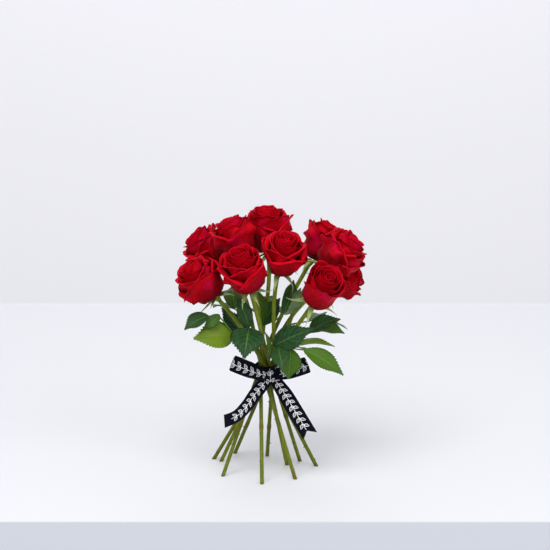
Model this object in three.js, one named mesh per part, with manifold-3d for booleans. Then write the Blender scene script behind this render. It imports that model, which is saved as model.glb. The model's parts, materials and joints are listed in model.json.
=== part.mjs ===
// A hand-tied bunch of ten red roses that stands unheld on its splayed cut stems.
// Each rose is a bloom of layered petals on a leafy stem. All the stems cross in a spiral at one tie, which
// is bound with twine and dressed with a patterned ribbon bow.
// Millimetres, +Z up. The origin is on the surface below the middle of the bunch; the bow faces -Y.

import * as THREE from "three";
import { mergeVertices } from "three/addons/utils/BufferGeometryUtils.js";
import Module from "manifold-3d";

const wasm = await Module();
wasm.setup();

// ---------------------------------------------------------------- driving dimensions

const tieHeight = 132; // where the stems cross
const gap = 0.35; // between pieces that lie against each other
const goldenAngle = 137.508; // degrees from one petal to the next

// Each rose: where its cut end stands, where it passes the tie, where its bloom sits, and the way the bloom
// looks, as a heading (0 is +X, 90 is +Y) and a lean from the vertical. size scales the bloom, open is how far
// its outer petals lie back, and spin turns it about its own stem.
const roses = [
  { foot: [64, 9], tie: [0.1, -10], neck: [-65, -20, 231], looks: [199, 42], size: 1, open: 0.8, spin: 20 },
  { foot: [36, -49], tie: [-5.5, -7.9], neck: [-58, 36, 263], looks: [180, 47], size: 0.94, open: 0.7, spin: 75 },
  { foot: [26, 14], tie: [-0.3, -4], neck: [-29, -4, 279], looks: [172, 24], size: 0.94, open: 0.6, spin: 140 },
  { foot: [-6, -70], tie: [-7.9, -2.1], neck: [5, 28, 281], looks: [326, 5], size: 1.02, open: 1, spin: 200 },
  { foot: [43, 32], tie: [5.8, -7], neck: [-21, -40, 244], looks: [238, 27], size: 1.04, open: 0.9, spin: 250 },
  { foot: [0, 56], tie: [8, 4.8], neck: [15, -30, 264], looks: [296, 27], size: 0.98, open: 1, spin: 310 },
  { foot: [-56, -36], tie: [-8.6, 4.9], neck: [58, 44, 266], looks: [13, 31], size: 0.96, open: 0.8, spin: 15 },
  { foot: [-70, 42], tie: [3.6, 9.5], neck: [73, 4, 264], looks: [353, 48], size: 0.98, open: 0.9, spin: 85 },
  { foot: [-60, 31], tie: [-2.9, 6.1], neck: [76, 40, 230], looks: [16, 67], size: 0.9, open: 1, spin: 123 },
  { foot: [-43, 69], tie: [5, -0.5], neck: [60, -36, 228], looks: [300, 44], size: 0.96, open: 0.5, spin: 170 },
];

// Each leaf grows from a rose's stem at a height. Its stalk runs through the given points, and each leaflet
// goes from its base to its tip, with its width and the way its upper face looks.
const leaves = [
  { rose: 1, height: 166, stalk: [[-40, -26, 180], [-60, -31, 208]], leaflets: [
    { base: [-60, -31, 208], tip: [-103, -43, 192], width: 30, up: [0, -0.5, 1] },
    { base: [-52, -29, 198], tip: [-72, -37, 188], width: 15, up: [0.2, -0.6, 1] },
    { base: [-40, -26, 180], tip: [-90, -44, 181], width: 38, up: [0, 1, 0.9] },
  ] },
  { rose: 2, height: 156, stalk: [[-24, 12, 170]], leaflets: [
    { base: [-24, 12, 170], tip: [-58, 20, 208], width: 26, up: [-0.5, -1, 0.3] },
    { base: [-24, 12, 170], tip: [-64, 44, 178], width: 30, up: [0, 0.3, 1] },
  ] },
  { rose: 2, height: 198, stalk: [[-42, 32, 203]], leaflets: [
    { base: [-42, 32, 203], tip: [-70, 66, 198], width: 29, up: [-0.2, 0.2, 1] },
    { base: [-42, 32, 203], tip: [-46, 66, 226], width: 25, up: [0, -0.6, 1] },
  ] },
  { rose: 3, height: 176, stalk: [[-5, 6, 188]], leaflets: [
    { base: [-5, 6, 188], tip: [-14, 8, 236], width: 20, up: [0.6, -1, 0] },
    { base: [-5, 6, 188], tip: [17, 11, 222], width: 24, up: [-0.2, -1, 0.5] },
  ] },
  { rose: 4, height: 186, stalk: [[-10, 38, 196]], leaflets: [
    { base: [-10, 38, 196], tip: [-22, 84, 190], width: 32, up: [-0.1, 0.3, 1] },
    { base: [-10, 38, 196], tip: [10, 66, 214], width: 27, up: [0, -0.3, 1] },
  ] },
  { rose: 5, height: 160, stalk: [[-14, -31, 179], [-22, -30, 192]], leaflets: [
    { base: [-22, -30, 192], tip: [-28, -69, 161], width: 42, up: [0, -1, 0.7] },
    { base: [-22, -30, 192], tip: [-38, -23, 230], width: 20, up: [0.4, -1, 0.3] },
  ] },
  { rose: 6, height: 150, stalk: [[9, -26, 168], [28, -44, 169], [46, -50, 168]], leaflets: [
    { base: [13, -31, 168], tip: [22, -50, 140], width: 24, up: [0, -1, 0.3] },
    { base: [30, -46, 169], tip: [26, -60, 132], width: 25, up: [0.2, -1, 0.3] },
    { base: [46, -50, 168], tip: [96, -57, 137], width: 26, up: [0.2, -1, 1] },
    { base: [9, -26, 168], tip: [58, -50, 196], width: 31, up: [-0.2, -1, 0.3] },
  ] },
  { rose: 6, height: 196, stalk: [[20, -20, 207]], leaflets: [
    { base: [20, -20, 207], tip: [43, -14, 240], width: 22, up: [0.6, 1, -0.2] },
    { base: [20, -20, 207], tip: [34, 8, 246], width: 22, up: [0.5, -0.6, 0.4] },
  ] },
  { rose: 7, height: 188, stalk: [[20, 38, 196]], leaflets: [
    { base: [20, 38, 196], tip: [32, 84, 190], width: 32, up: [0.1, 0.3, 1] },
    { base: [20, 38, 196], tip: [50, 62, 210], width: 27, up: [0.2, -0.3, 1] },
  ] },
  { rose: 8, height: 184, stalk: [[50, -12, 180], [66, -15, 186]], leaflets: [
    { base: [54, -13, 182], tip: [94, 4, 196], width: 30, up: [-0.1, -0.5, 1] },
    { base: [66, -15, 186], tip: [98, -28, 184], width: 22, up: [0, -0.4, 1] },
  ] },
  { rose: 9, height: 186, stalk: [[56, 30, 188]], leaflets: [
    { base: [56, 30, 188], tip: [104, 44, 174], width: 33, up: [0, 0, 1] },
    { base: [56, 30, 188], tip: [72, 68, 188], width: 29, up: [0, 0.2, 1] },
  ] },
  { rose: 10, height: 150, stalk: [[30, -16, 164]], leaflets: [
    { base: [30, -16, 164], tip: [86, -22, 166], width: 26, up: [0, -0.1, 1] },
    { base: [30, -16, 164], tip: [52, 8, 150], width: 24, up: [0.2, 0, 1] },
  ] },
];

// ---------------------------------------------------------------- small helpers

const lerp = (a, b, s) => a + (b - a) * s;
const radians = THREE.MathUtils.degToRad;
const smooth = (low, high, x) => THREE.MathUtils.smoothstep(x, low, high);
const vector = (p) => new THREE.Vector3(...p);
const towards = (a, b) => b.clone().sub(a).normalize();
const nameOf = (number, piece) => `rose_${String(number).padStart(2, "0")}_${piece}`;

// A repeatable number from -1 to 1 for petal, sepal or leaf k of a rose.
function wobble(number, k, channel) {
  const s = Math.sin(number * 12.9898 + k * 78.233 + channel * 37.719) * 43758.5453;
  return 2 * (s - Math.floor(s)) - 1;
}

// The unit vector that a heading and a lean from the vertical give, in degrees.
function facing([heading, lean]) {
  const [h, l] = [radians(heading), radians(lean)];
  return new THREE.Vector3(Math.cos(h) * Math.sin(l), Math.sin(h) * Math.sin(l), Math.cos(l));
}

// A turn from the bunch's frame to one whose +Z is the axis.
const turnTo = (axis) => new THREE.Quaternion().setFromUnitVectors(new THREE.Vector3(0, 0, 1), axis);

function solidFrom(points, triangles) {
  const geometry = new THREE.BufferGeometry().setFromPoints(points);
  geometry.setIndex(triangles.flat());
  return solidOf(geometry);
}

function solidOf(geometry, grain = 1e-3) {
  geometry.deleteAttribute("normal");
  geometry.deleteAttribute("uv");
  const merged = mergeVertices(geometry, grain);
  const mesh = new wasm.Mesh({
    numProp: 3,
    vertProperties: merged.attributes.position.array,
    triVerts: new Uint32Array(merged.index.array),
  });
  return new wasm.Manifold(mesh);
}

const joined = (solids) => solids.reduce((whole, next) => whole.add(next));

function geometryOf(solid) {
  const { vertProperties, triVerts } = solid.getMesh();
  const geometry = new THREE.BufferGeometry();
  geometry.setAttribute("position", new THREE.BufferAttribute(vertProperties, 3));
  geometry.setIndex(new THREE.BufferAttribute(triVerts, 1));
  return geometry;
}

// The outer skin of the largest body, so a hollow sealed between petals is filled and a scrap is dropped.
// Its near points are merged first, so that a hollow which meets the skin in a point comes apart from it.
function wholeBody(solid) {
  const bodies = solidOf(geometryOf(solid), 5e-3).decompose();
  return bodies.reduce((best, next) => (next.volume() > best.volume() ? next : best));
}

function meshOf(solid, name, finish) {
  const material = new THREE.MeshStandardMaterial({ metalness: 0, ...finish });
  const mesh = new THREE.Mesh(geometryOf(wholeBody(solid)), material);
  mesh.name = name;
  return mesh;
}

// A solid skinned over a row of rings of points, with a flat cap at each end.
function loft(rings) {
  const sides = rings[0].length;
  const triangles = [];
  for (let i = 0; i + 1 < rings.length; i++)
    for (let j = 0; j < sides; j++) {
      const [a, b] = [i * sides + j, i * sides + ((j + 1) % sides)];
      triangles.push([a, b, b + sides], [a, b + sides, a + sides]);
    }
  const last = (rings.length - 1) * sides;
  for (let j = 1; j + 1 < sides; j++) triangles.push([0, j + 1, j], [last, last + j, last + j + 1]);
  return solidFrom(rings.flat(), triangles);
}

// A closed band skinned over sections that follow each other round a loop.
function closedLoft(rings) {
  const [count, sides] = [rings.length, rings[0].length];
  const triangles = [];
  for (let i = 0; i < count; i++)
    for (let j = 0; j < sides; j++) {
      const [here, next, k] = [i * sides, ((i + 1) % count) * sides, (j + 1) % sides];
      triangles.push([here + j, here + k, next + k], [here + j, next + k, next + j]);
    }
  return solidFrom(rings.flat(), triangles);
}

// A ring of points about a centre, across a direction; guide turns where it starts.
function ring(centre, direction, radius, sides, guide = new THREE.Vector3(0, 1, 0)) {
  const first = guide.clone().addScaledVector(direction, -guide.dot(direction)).normalize();
  const second = direction.clone().cross(first);
  return Array.from({ length: sides }, (_, j) => {
    const angle = (2 * Math.PI * j) / sides;
    return centre.clone().addScaledVector(first, radius * Math.cos(angle))
      .addScaledVector(second, radius * Math.sin(angle));
  });
}

// A round tube along a row of points.
function tube(points, radii, sides) {
  const rings = points.map((p, i) => {
    const direction = towards(points[Math.max(i - 1, 0)], points[Math.min(i + 1, points.length - 1)]);
    return ring(p, direction, radii[i], sides);
  });
  return loft(rings);
}

// A blade of even thickness about a grid of points, rows[j][i], with both faces split alike.
function blade(rows, thickness) {
  const [m, n] = [rows.length, rows[0].length];
  const normals = rows.map((row, j) =>
    row.map((_, i) => {
      const along = rows[Math.min(j + 1, m - 1)][i].clone().sub(rows[Math.max(j - 1, 0)][i]);
      const across = row[Math.min(i + 1, n - 1)].clone().sub(row[Math.max(i - 1, 0)]);
      return across.cross(along).normalize();
    })
  );
  const skin = (off) => rows.flatMap((row, j) => row.map((p, i) => p.clone().addScaledVector(normals[j][i], off)));
  const [front, back] = [(j, i) => j * n + i, (j, i) => (m + j) * n + i];
  const triangles = [];
  for (let j = 0; j + 1 < m; j++)
    for (let i = 0; i + 1 < n; i++) {
      triangles.push([front(j, i), front(j, i + 1), front(j + 1, i + 1)]);
      triangles.push([front(j, i), front(j + 1, i + 1), front(j + 1, i)]);
      triangles.push([back(j, i), back(j + 1, i + 1), back(j, i + 1)]);
      triangles.push([back(j, i), back(j + 1, i), back(j + 1, i + 1)]);
    }
  const edge = (a, b, c, d) => triangles.push([a, c, d], [a, d, b]);
  for (let i = 0; i + 1 < n; i++) {
    edge(front(0, i), front(0, i + 1), back(0, i), back(0, i + 1));
    edge(front(m - 1, i + 1), front(m - 1, i), back(m - 1, i + 1), back(m - 1, i));
  }
  for (let j = 0; j + 1 < m; j++) {
    edge(front(j + 1, 0), front(j, 0), back(j + 1, 0), back(j, 0));
    edge(front(j, n - 1), front(j + 1, n - 1), back(j, n - 1), back(j + 1, n - 1));
  }
  return solidFrom([...skin(thickness / 2), ...skin(-thickness / 2)], triangles);
}

// ---------------------------------------------------------------- the blooms

// Pairs give the innermost and the outermost petal's value.
const bloom = {
  petals: 9,
  thickness: 1,
  height: 44,
  dome: 2, // how much higher the middle layers stand
  belly: [5, 23.5], // the widest radius
  base: [1.4, 3.6], // the radius where the petal starts
  baseHeight: [4, 0],
  halfWidth: [15, 27],
  lean: [-9, 24], // degrees outwards at the margin of a fully open bloom
  tip: [1.5, 4], // how far the point stands out of the margin
  rollRadius: [5, 3.8],
  roll: 10, // how much of the outermost margin rolls back
  sideRoll: { share: 0.8, radius: 6, from: 0.66 }, // the sides roll back beyond a share of the width
  ruffle: [0.3, 1],
  startSlope: 82, // degrees from the axis, where a petal leaves the stem
  claw: 0.2, // width at the base, as a share of the full width
  shoulder: 0.24, // how much shorter a petal is at its sides
  wrap: 1.7, // the most that a petal's half width can be, in belly radii
  seat: 0.3, // above the top of the hip
  centre: 27, // height of the widest part, where neighbours press
  near: 80, // blooms with their middles closer than this press on each other
  soft: 9, // how near a neighbour's plane a petal starts to bend
  heart: { profile: [[9, 0], [11.5, 5], [11, 27], [1, 31]], sides: 6 }, // [radius, height]
};

// How far up a petal its rows of points lie, and how far across it. The inner ones grow out of the heart.
const petalRows = (s) => (s > 0.8 ? [0.07, 0.3, 0.7, 1] : s > 0.3 ? [0.08, 0.45, 1] : [0.6, 1]);
const petalColumns = (s) => (s > 0.8 ? [-1, -0.5, 0, 0.5, 1] : [-1, -0.33, 0.33, 1]);

// The sizes of the petal that is k in from the outermost one, in the bloom's own frame.
function petalSizes(rose, number, k) {
  const s = 1 - k / (bloom.petals - 1);
  const between = ([inner, outer], share = s) => lerp(inner, outer, share);
  const w = (channel) => wobble(number, k, channel);
  const baseRadius = between(bloom.base);
  const belly = between(bloom.belly, s ** 0.92);
  const turn = (belly - baseRadius) / 0.6;
  const rim = bloom.height + bloom.dome * (Math.sin(Math.PI * s) - s) + 1.2 * w(1);
  return {
    s,
    baseRadius,
    baseHeight: between(bloom.baseHeight),
    turn,
    length: turn * 0.62 + rim,
    lean: lerp(bloom.lean[0], bloom.lean[1] * rose.open, s ** 1.6) + 2 * w(2),
    halfWidth: Math.min(belly * bloom.wrap, between(bloom.halfWidth)) * (1 + 0.05 * w(3)),
    spin: rose.spin - k * goldenAngle + 8 * w(4),
    roll: bloom.roll * rose.open * smooth(0.45, 1, s) * (1 + 0.2 * w(5)),
    rollRadius: between(bloom.rollRadius),
    sideRoll: bloom.sideRoll.share * rose.open * smooth(0.6, 1, s),
    tip: between(bloom.tip, smooth(0.5, 1, s)),
    ruffle: between(bloom.ruffle, smooth(0.4, 1, s)),
    phase: 3 * w(6),
  };
}

// Follows a petal's middle line from its base to arc length y: [radius, height, slope from the axis].
function meridian(petal, y) {
  const [start, step] = [radians(bloom.startSlope), 1];
  let [r, z, slope] = [petal.baseRadius, petal.baseHeight, start];
  for (let at = 0; at < y; at += step) {
    const d = Math.min(step, y - at);
    const mid = at + d / 2;
    const lean = radians(petal.lean * smooth(petal.turn, petal.length, mid));
    slope = lerp(start, lean, smooth(0, petal.turn, mid));
    r += d * Math.sin(slope);
    z += d * Math.cos(slope);
  }
  return [r, z, slope];
}

// Bends a distance past its start round a roll of the given radius: [distance along, distance off].
function rolled(distance, start, radius) {
  if (distance <= start) return [distance, 0];
  const turned = (distance - start) / radius;
  return [start + radius * Math.sin(turned), radius * (1 - Math.cos(turned))];
}

// A point of a petal: u runs across it from -1 to 1, t from its base at 0 to its margin at 1.
function petalPoint(petal, u, t) {
  const width = petal.halfWidth * lerp(bloom.claw, 1, smooth(0, 0.6, t));
  const length = petal.length * (1 - bloom.shoulder * Math.abs(u) ** 2.6) + petal.tip * (1 - Math.abs(u)) ** 2;
  const sideRadius = bloom.sideRoll.radius / Math.max(1e-3, petal.sideRoll * smooth(0.35, 0.8, t));
  const [x, offSide] = rolled(Math.abs(u) * width, bloom.sideRoll.from * width, sideRadius);
  const [y, offTop] = rolled(t * length, length - petal.roll * (0.75 + 0.5 * u * u), petal.rollRadius);
  const [r, z, slope] = meridian(petal, y);
  const wave = petal.ruffle * Math.sin(5 * u + petal.phase) * smooth(0.55, 1, t);
  const off = offSide + offTop + wave;
  const azimuth = radians(petal.spin) + (Math.sign(u) * x) / Math.max(r, bloom.base[0] + 1);
  const out = r + off * Math.cos(slope);
  return new THREE.Vector3(out * Math.cos(azimuth), out * Math.sin(azimuth), z - off * Math.sin(slope));
}

const axisOf = (rose) => facing(rose.looks);
const centreOf = (rose) => vector(rose.neck).addScaledVector(axisOf(rose), bloom.centre * rose.size);

// Where blooms press on each other, each one's petals bend to stay on their own side of the plane between.
function planesOf(rose) {
  const centre = centreOf(rose);
  const neighbours = roses.filter((other) => other !== rose && centreOf(other).distanceTo(centre) < bloom.near);
  return neighbours.map((other) => {
    const away = towards(centre, centreOf(other));
    const share = rose.size / (rose.size + other.size);
    return { away, reach: away.dot(centre.clone().lerp(centreOf(other), share)) };
  });
}

function pressed(point, planes) {
  for (const { away, reach } of planes) {
    const beyond = point.dot(away) - reach + bloom.soft;
    if (beyond <= 0) continue;
    const room = bloom.soft - gap - bloom.thickness;
    point.addScaledVector(away, room * (1 - Math.exp(-beyond / room)) - beyond);
  }
  return point;
}

// The packed heart that the petals stand out of: a bud with a sunken top.
function heartRings(place) {
  const { profile, sides } = bloom.heart;
  const up = new THREE.Vector3(0, 0, 1);
  return profile.map(([r, z]) => ring(new THREE.Vector3(0, 0, z), up, r, sides).map(place));
}

function bloomMesh(rose, number) {
  const axis = axisOf(rose);
  const turn = turnTo(axis);
  const base = vector(rose.neck).addScaledVector(axis, bloom.seat);
  const planes = planesOf(rose);
  const place = (p) => pressed(p.multiplyScalar(rose.size).applyQuaternion(turn).add(base), planes);
  const petals = Array.from({ length: bloom.petals }, (_, k) => {
    const petal = petalSizes(rose, number, k);
    const across = petalColumns(petal.s);
    const rows = petalRows(petal.s).map((t) => across.map((u) => place(petalPoint(petal, u, t))));
    return blade(rows, bloom.thickness);
  });
  return meshOf(joined([loft(heartRings(place)), ...petals]), nameOf(number, "bloom"),
    { color: 0xa3000f, roughness: 0.65 });
}

// ---------------------------------------------------------------- the leafy stems

const stem = {
  radius: { foot: 2.5, knot: 3.1, tie: 2.5, top: 2.8 },
  sides: 6,
  bend: 0.38, // how stiffly the stem leaves the tie and enters the bloom, as a share of the way between
  steps: 6, // above the tie
  scar: { at: 0.45, spread: 0.12, span: 5 }, // an old leaf's swelling between the cut end and the tie
  hip: { length: 9, radius: 4.5, top: 3.8 },
};

// The stem's middle line: straight from the cut end to the tie, then one smooth bend to the bloom.
function stemLine(rose) {
  const foot = new THREE.Vector3(...rose.foot, 0);
  const tie = new THREE.Vector3(...rose.tie, tieHeight);
  const neck = vector(rose.neck);
  const reach = stem.bend * tie.distanceTo(neck);
  const upper = new THREE.CubicBezierCurve3(
    tie,
    tie.clone().addScaledVector(towards(foot, tie), reach),
    neck.clone().addScaledVector(axisOf(rose), -reach),
    neck
  );
  return { foot, tie, neck, upper };
}

// The point of the upper stem at a height.
function stemPoint(rose, height) {
  const { upper } = stemLine(rose);
  let [low, high] = [0, 1];
  for (let i = 0; i < 24; i++) {
    const mid = (low + high) / 2;
    if (upper.getPoint(mid).z < height) low = mid;
    else high = mid;
  }
  return upper.getPoint(low);
}

function stemSolid(rose, number) {
  const { foot, tie, neck, upper } = stemLine(rose);
  const rise = towards(foot, tie);
  const axis = axisOf(rose);
  const { radius, sides, scar, hip } = stem;
  const cut = ring(foot, rise, radius.foot, sides).map((p) => p.addScaledVector(rise, -p.z / rise.z));
  cut.forEach((p) => (p.z = 0));
  const rings = [cut];
  const swelling = foot.clone().lerp(tie, scar.at + scar.spread * wobble(number, 0, 7));
  for (const [offset, r] of [[-scar.span, radius.foot], [0, radius.knot]])
    rings.push(ring(swelling.clone().addScaledVector(rise, offset), rise, r, sides));
  for (let i = 0; i < stem.steps; i++) {
    const t = i / stem.steps;
    rings.push(ring(upper.getPoint(t), upper.getTangent(t), lerp(radius.tie, radius.top, t), sides));
  }
  const hipRings = [[-hip.length, radius.top], [-hip.length / 2, hip.radius], [0, hip.top]];
  for (const [offset, r] of hipRings)
    rings.push(ring(neck.clone().addScaledVector(axis, offset), axis, r, sides));
  return loft(rings);
}

// Five narrow sepals under each bloom, three-sided, tapering and curling back.
const sepal = {
  count: 5,
  length: 24,
  width: 5,
  thick: 1.5,
  root: 1, // how far out and how far below the bloom it starts
  drop: 1.6,
  rings: [0, 0.5, 1],
  start: { angle: -12, spread: 8 }, // degrees below level at its root, then at its point
  end: { angle: -58, spread: 50 },
};

function sepalSolid(rose, number, k) {
  const axis = axisOf(rose);
  const turn = turnTo(axis);
  const w = (channel) => wobble(number, k, channel + 10);
  const length = sepal.length * (1 + 0.2 * w(1));
  const heading = radians((360 * k) / sepal.count + rose.spin * 2 + 12 * w(2));
  const out = new THREE.Vector3(Math.cos(heading), Math.sin(heading), 0);
  const up = new THREE.Vector3(0, 0, 1);
  const side = up.clone().cross(out);
  const first = radians(sepal.start.angle + sepal.start.spread * w(3));
  const last = radians(sepal.end.angle + sepal.end.spread * w(4));
  const at = out.clone().multiplyScalar(sepal.root).addScaledVector(up, -sepal.drop);
  const rings = sepal.rings.map((s, i) => {
    const angle = lerp(first, last, s);
    const along = out.clone().multiplyScalar(Math.cos(angle)).addScaledVector(up, Math.sin(angle));
    if (i > 0) at.addScaledVector(along, length * (s - sepal.rings[i - 1]));
    const normal = along.clone().cross(side).negate();
    const taper = Math.max(0.12, 1 - s ** 1.6);
    const [wide, thick] = [sepal.width * 0.5 * taper, sepal.thick * Math.max(0.45, taper)];
    const corners = [at.clone().addScaledVector(side, -wide), at.clone().addScaledVector(side, wide),
      at.clone().addScaledVector(normal, -thick)];
    return corners.map((p) => p.applyQuaternion(turn).add(vector(rose.neck)));
  });
  return loft(rings);
}

// A leaflet: an arched blade folded along its midrib, with a toothed edge. rib and teeth are shares of its
// length; tooth and bite are how far a tooth stands out and a notch cuts in, as shares of its outline.
const leaflet = {
  thickness: 0.8,
  arch: 0.36,
  fold: 0.22,
  rib: [0, 0.3, 0.62, 1],
  teeth: [0.17, 0.38, 0.6, 0.81],
  notch: 0.055, // how far beyond a tooth its notch lies
  tooth: 1.05,
  bite: 0.82,
};

// Triangles between two rows of points that run the same way, each point given as [index, place along].
function zipped(first, second) {
  const triangles = [];
  let [i, j] = [0, 0];
  while (i + 1 < first.length || j + 1 < second.length) {
    const onFirst = j + 1 === second.length || (i + 1 < first.length && first[i + 1][1] <= second[j + 1][1]);
    const next = onFirst ? first[i + 1] : second[j + 1];
    triangles.push([first[i][0], second[j][0], next[0]]);
    if (onFirst) i++;
    else j++;
  }
  return triangles;
}

function leafletSolid({ base, tip, width, up }) {
  const [from, to] = [vector(base), vector(tip)];
  const along = towards(from, to);
  const length = from.distanceTo(to);
  const normal = vector(up).addScaledVector(along, -vector(up).dot(along)).normalize();
  const side = along.clone().cross(normal);
  const halfWidth = (s) => 0.5 * width * Math.sin(Math.PI * s ** 0.85) ** 0.8;
  const place = ([s, x]) => from.clone().addScaledVector(along, s * length).addScaledVector(side, x)
    .addScaledVector(normal, length * leaflet.arch * s * (1 - s) + leaflet.fold * Math.abs(x));
  const margin = (sign) => leaflet.teeth.flatMap((s) => [
    [s, sign * halfWidth(s) * leaflet.tooth],
    [s + leaflet.notch, sign * halfWidth(s + leaflet.notch) * leaflet.bite],
  ]);
  const rib = leaflet.rib.map((s) => [s, 0]);
  const flat = [...rib, ...margin(1), ...margin(-1)];
  const numbered = flat.map(([s], i) => [i, s]);
  const [right, left] = [numbered.slice(rib.length, (flat.length + rib.length) / 2),
    numbered.slice((flat.length + rib.length) / 2)];
  const faces = [...zipped(numbered.slice(0, rib.length), right),
    ...zipped(numbered.slice(0, rib.length), left).map(([a, b, c]) => [a, c, b])];
  const top = flat.map(place);
  const under = top.map((p) => p.clone().addScaledVector(normal, -leaflet.thickness));
  const m = flat.length;
  const triangles = faces.flatMap(([a, b, c]) => [[a, b, c], [a + m, c + m, b + m]]);
  const outline = [0, ...right.map(([i]) => i), rib.length - 1, ...left.map(([i]) => i).reverse()];
  outline.forEach((a, i) => {
    const b = outline[(i + 1) % outline.length];
    triangles.push([a, a + m, b + m], [a, b + m, b]);
  });
  return solidFrom([...top, ...under], triangles);
}

const stalk = { radius: [1.5, 0.9], sides: 4 };

function leafSolids(rose, { height, stalk: route, leaflets }) {
  const points = [stemPoint(rose, height), ...route.map(vector)];
  const radii = points.map((_, i) => lerp(stalk.radius[0], stalk.radius[1], i / (points.length - 1)));
  return [tube(points, radii, stalk.sides), ...leaflets.map(leafletSolid)];
}

function stemMesh(rose, number) {
  const sepals = Array.from({ length: sepal.count }, (_, k) => sepalSolid(rose, number, k));
  const grown = leaves.filter((leaf) => leaf.rose === number).flatMap((leaf) => leafSolids(rose, leaf));
  return meshOf(joined([stemSolid(rose, number), ...sepals, ...grown]), nameOf(number, "stem"),
    { color: 0x5c7a35, roughness: 0.55 });
}

// ---------------------------------------------------------------- the tie

// The twine's crown and groove stand off the stems; a stem that leans is wider across a level by oval.
const twine = { turns: 3, pitch: 2.5, groove: 1.1, crown: 2, around: 14, oval: 1.13 };
const ribbon = { thickness: 0.8, slack: 0.6, height: 129, band: 19, loopSteps: 8, tailSteps: 6 };

// The point of a belt drawn round the stems at a height, on the side that looks along an angle.
function beltPoint(height, angle, off) {
  const out = new THREE.Vector3(Math.cos(angle), Math.sin(angle), 0);
  const centres = roses.map((rose) => {
    const { foot, tie } = stemLine(rose);
    return height <= tieHeight ? foot.clone().lerp(tie, height / tieHeight) : stemPoint(rose, height);
  });
  const furthest = centres.reduce((best, next) => (next.dot(out) > best.dot(out) ? next : best));
  return furthest.addScaledVector(out, stem.radius.tie * twine.oval + off);
}

function beltSection(angle, levels, off, thickness) {
  const inner = levels.map((z) => beltPoint(z, angle, off));
  const outer = levels.map((z) => beltPoint(z, angle, off + thickness));
  return [...inner, ...outer.reverse()];
}

const round = (count) => Array.from({ length: count }, (_, i) => (2 * Math.PI * i) / count);

function twineMesh() {
  const { turns, pitch, groove, crown, around } = twine;
  const low = tieHeight - (turns * pitch) / 2;
  const sections = round(around).map((angle) => {
    const inner = [0, turns].map((i) => beltPoint(low + i * pitch, angle, gap));
    const outer = Array.from({ length: 2 * turns + 1 }, (_, i) =>
      beltPoint(low + (i * pitch) / 2, angle, gap + (i % 2 ? crown : groove)));
    return [...inner, ...outer.reverse()];
  });
  return meshOf(closedLoft(sections), "binding_twine", { color: 0x9a7b4f, roughness: 0.9 });
}

// A strip of ribbon along a smooth route; across is the way its width lies, given at each point.
function strip(route, steps) {
  const path = new THREE.CatmullRomCurve3(route.map(({ at }) => vector(at)));
  const pick = (key, t) => {
    const place = t * (route.length - 1);
    const i = Math.min(Math.floor(place), route.length - 2);
    return [route[i][key], route[i + 1][key], place - i];
  };
  const rows = Array.from({ length: steps + 1 }, (_, j) => {
    const t = j / steps;
    const [a, b, s] = pick("across", t);
    const [wa, wb] = pick("width", t);
    const half = vector(a).lerp(vector(b), s).normalize().multiplyScalar(lerp(wa, wb, s) / 2);
    const middle = path.getPoint(t);
    return [middle.clone().sub(half), middle.clone().add(half)];
  });
  return blade(rows, ribbon.thickness);
}

// The knot's sections across the bow: [place across, half its height, half its depth].
const knot = {
  centre: [4.5, -19.5, 127],
  reach: 8,
  sides: 8,
  sections: [[-1, 7, 3], [-0.5, 9.5, 4.2], [0.5, 9.5, 4.2], [1, 7, 3]],
};

function knotSolid() {
  const centre = vector(knot.centre);
  const rings = knot.sections.map(([s, tall, deep]) =>
    round(knot.sides).map((angle) =>
      centre.clone().add(new THREE.Vector3(s * knot.reach, deep * Math.cos(angle), tall * Math.sin(angle))))
  );
  return loft(rings);
}

// The loops and tails, each as the middle of the ribbon, the way its width lies and how wide it is there.
const bow = {
  leftLoop: [
    { at: [1, -22, 128], across: [0.1, 0, 1], width: 13 },
    { at: [-21, -28, 136], across: [0.3, 0, 1], width: 19 },
    { at: [-43, -27, 145], across: [0.42, 0, 1], width: 20 },
    { at: [-43, -22, 145], across: [0.42, 0, 1], width: 20 },
    { at: [-21, -20, 136], across: [0.3, 0, 1], width: 19 },
    { at: [1, -19, 128], across: [0.1, 0, 1], width: 13 },
  ],
  rightLoop: [
    { at: [8, -19, 128], across: [-0.1, 0, 1], width: 13 },
    { at: [29, -20, 135], across: [-0.3, 0, 1], width: 19 },
    { at: [51, -23, 143], across: [-0.42, 0, 1], width: 20 },
    { at: [51, -28, 143], across: [-0.42, 0, 1], width: 20 },
    { at: [29, -28, 135], across: [-0.3, 0, 1], width: 19 },
    { at: [8, -22, 128], across: [-0.1, 0, 1], width: 13 },
  ],
  leftTail: [
    { at: [2, -21, 125], across: [0.9, 0, -0.5], width: 14 },
    { at: [-14, -32, 109], across: [0.78, 0, -0.62], width: 19 },
    { at: [-30, -41, 91], across: [0.78, 0, -0.62], width: 20 },
    { at: [-46, -47, 73], across: [0.78, 0, -0.62], width: 20 },
  ],
  rightTail: [
    { at: [8, -21, 126], across: [0.9, 0, 0.45], width: 14 },
    { at: [23, -34, 107], across: [0.86, 0, 0.51], width: 19 },
    { at: [38, -45, 84], across: [0.86, 0, 0.51], width: 20 },
    { at: [53, -52, 60], across: [0.86, 0, 0.51], width: 20 },
  ],
};

function ribbonMesh() {
  const levels = [ribbon.height - ribbon.band / 2, tieHeight, ribbon.height + ribbon.band / 2];
  const off = gap + twine.crown + ribbon.slack;
  const sections = round(twine.around).map((angle) => beltSection(angle, levels, off, ribbon.thickness));
  const band = closedLoft(sections);
  const loops = [bow.leftLoop, bow.rightLoop].map((route) => strip(route, ribbon.loopSteps));
  const tails = [bow.leftTail, bow.rightTail].map((route) => strip(route, ribbon.tailSteps));
  const whole = joined([band, knotSolid(), ...loops, ...tails]);
  return meshOf(whole, "ribbon_bow", { color: 0x15151b, roughness: 0.45 });
}

// ---------------------------------------------------------------- the whole bunch

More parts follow.
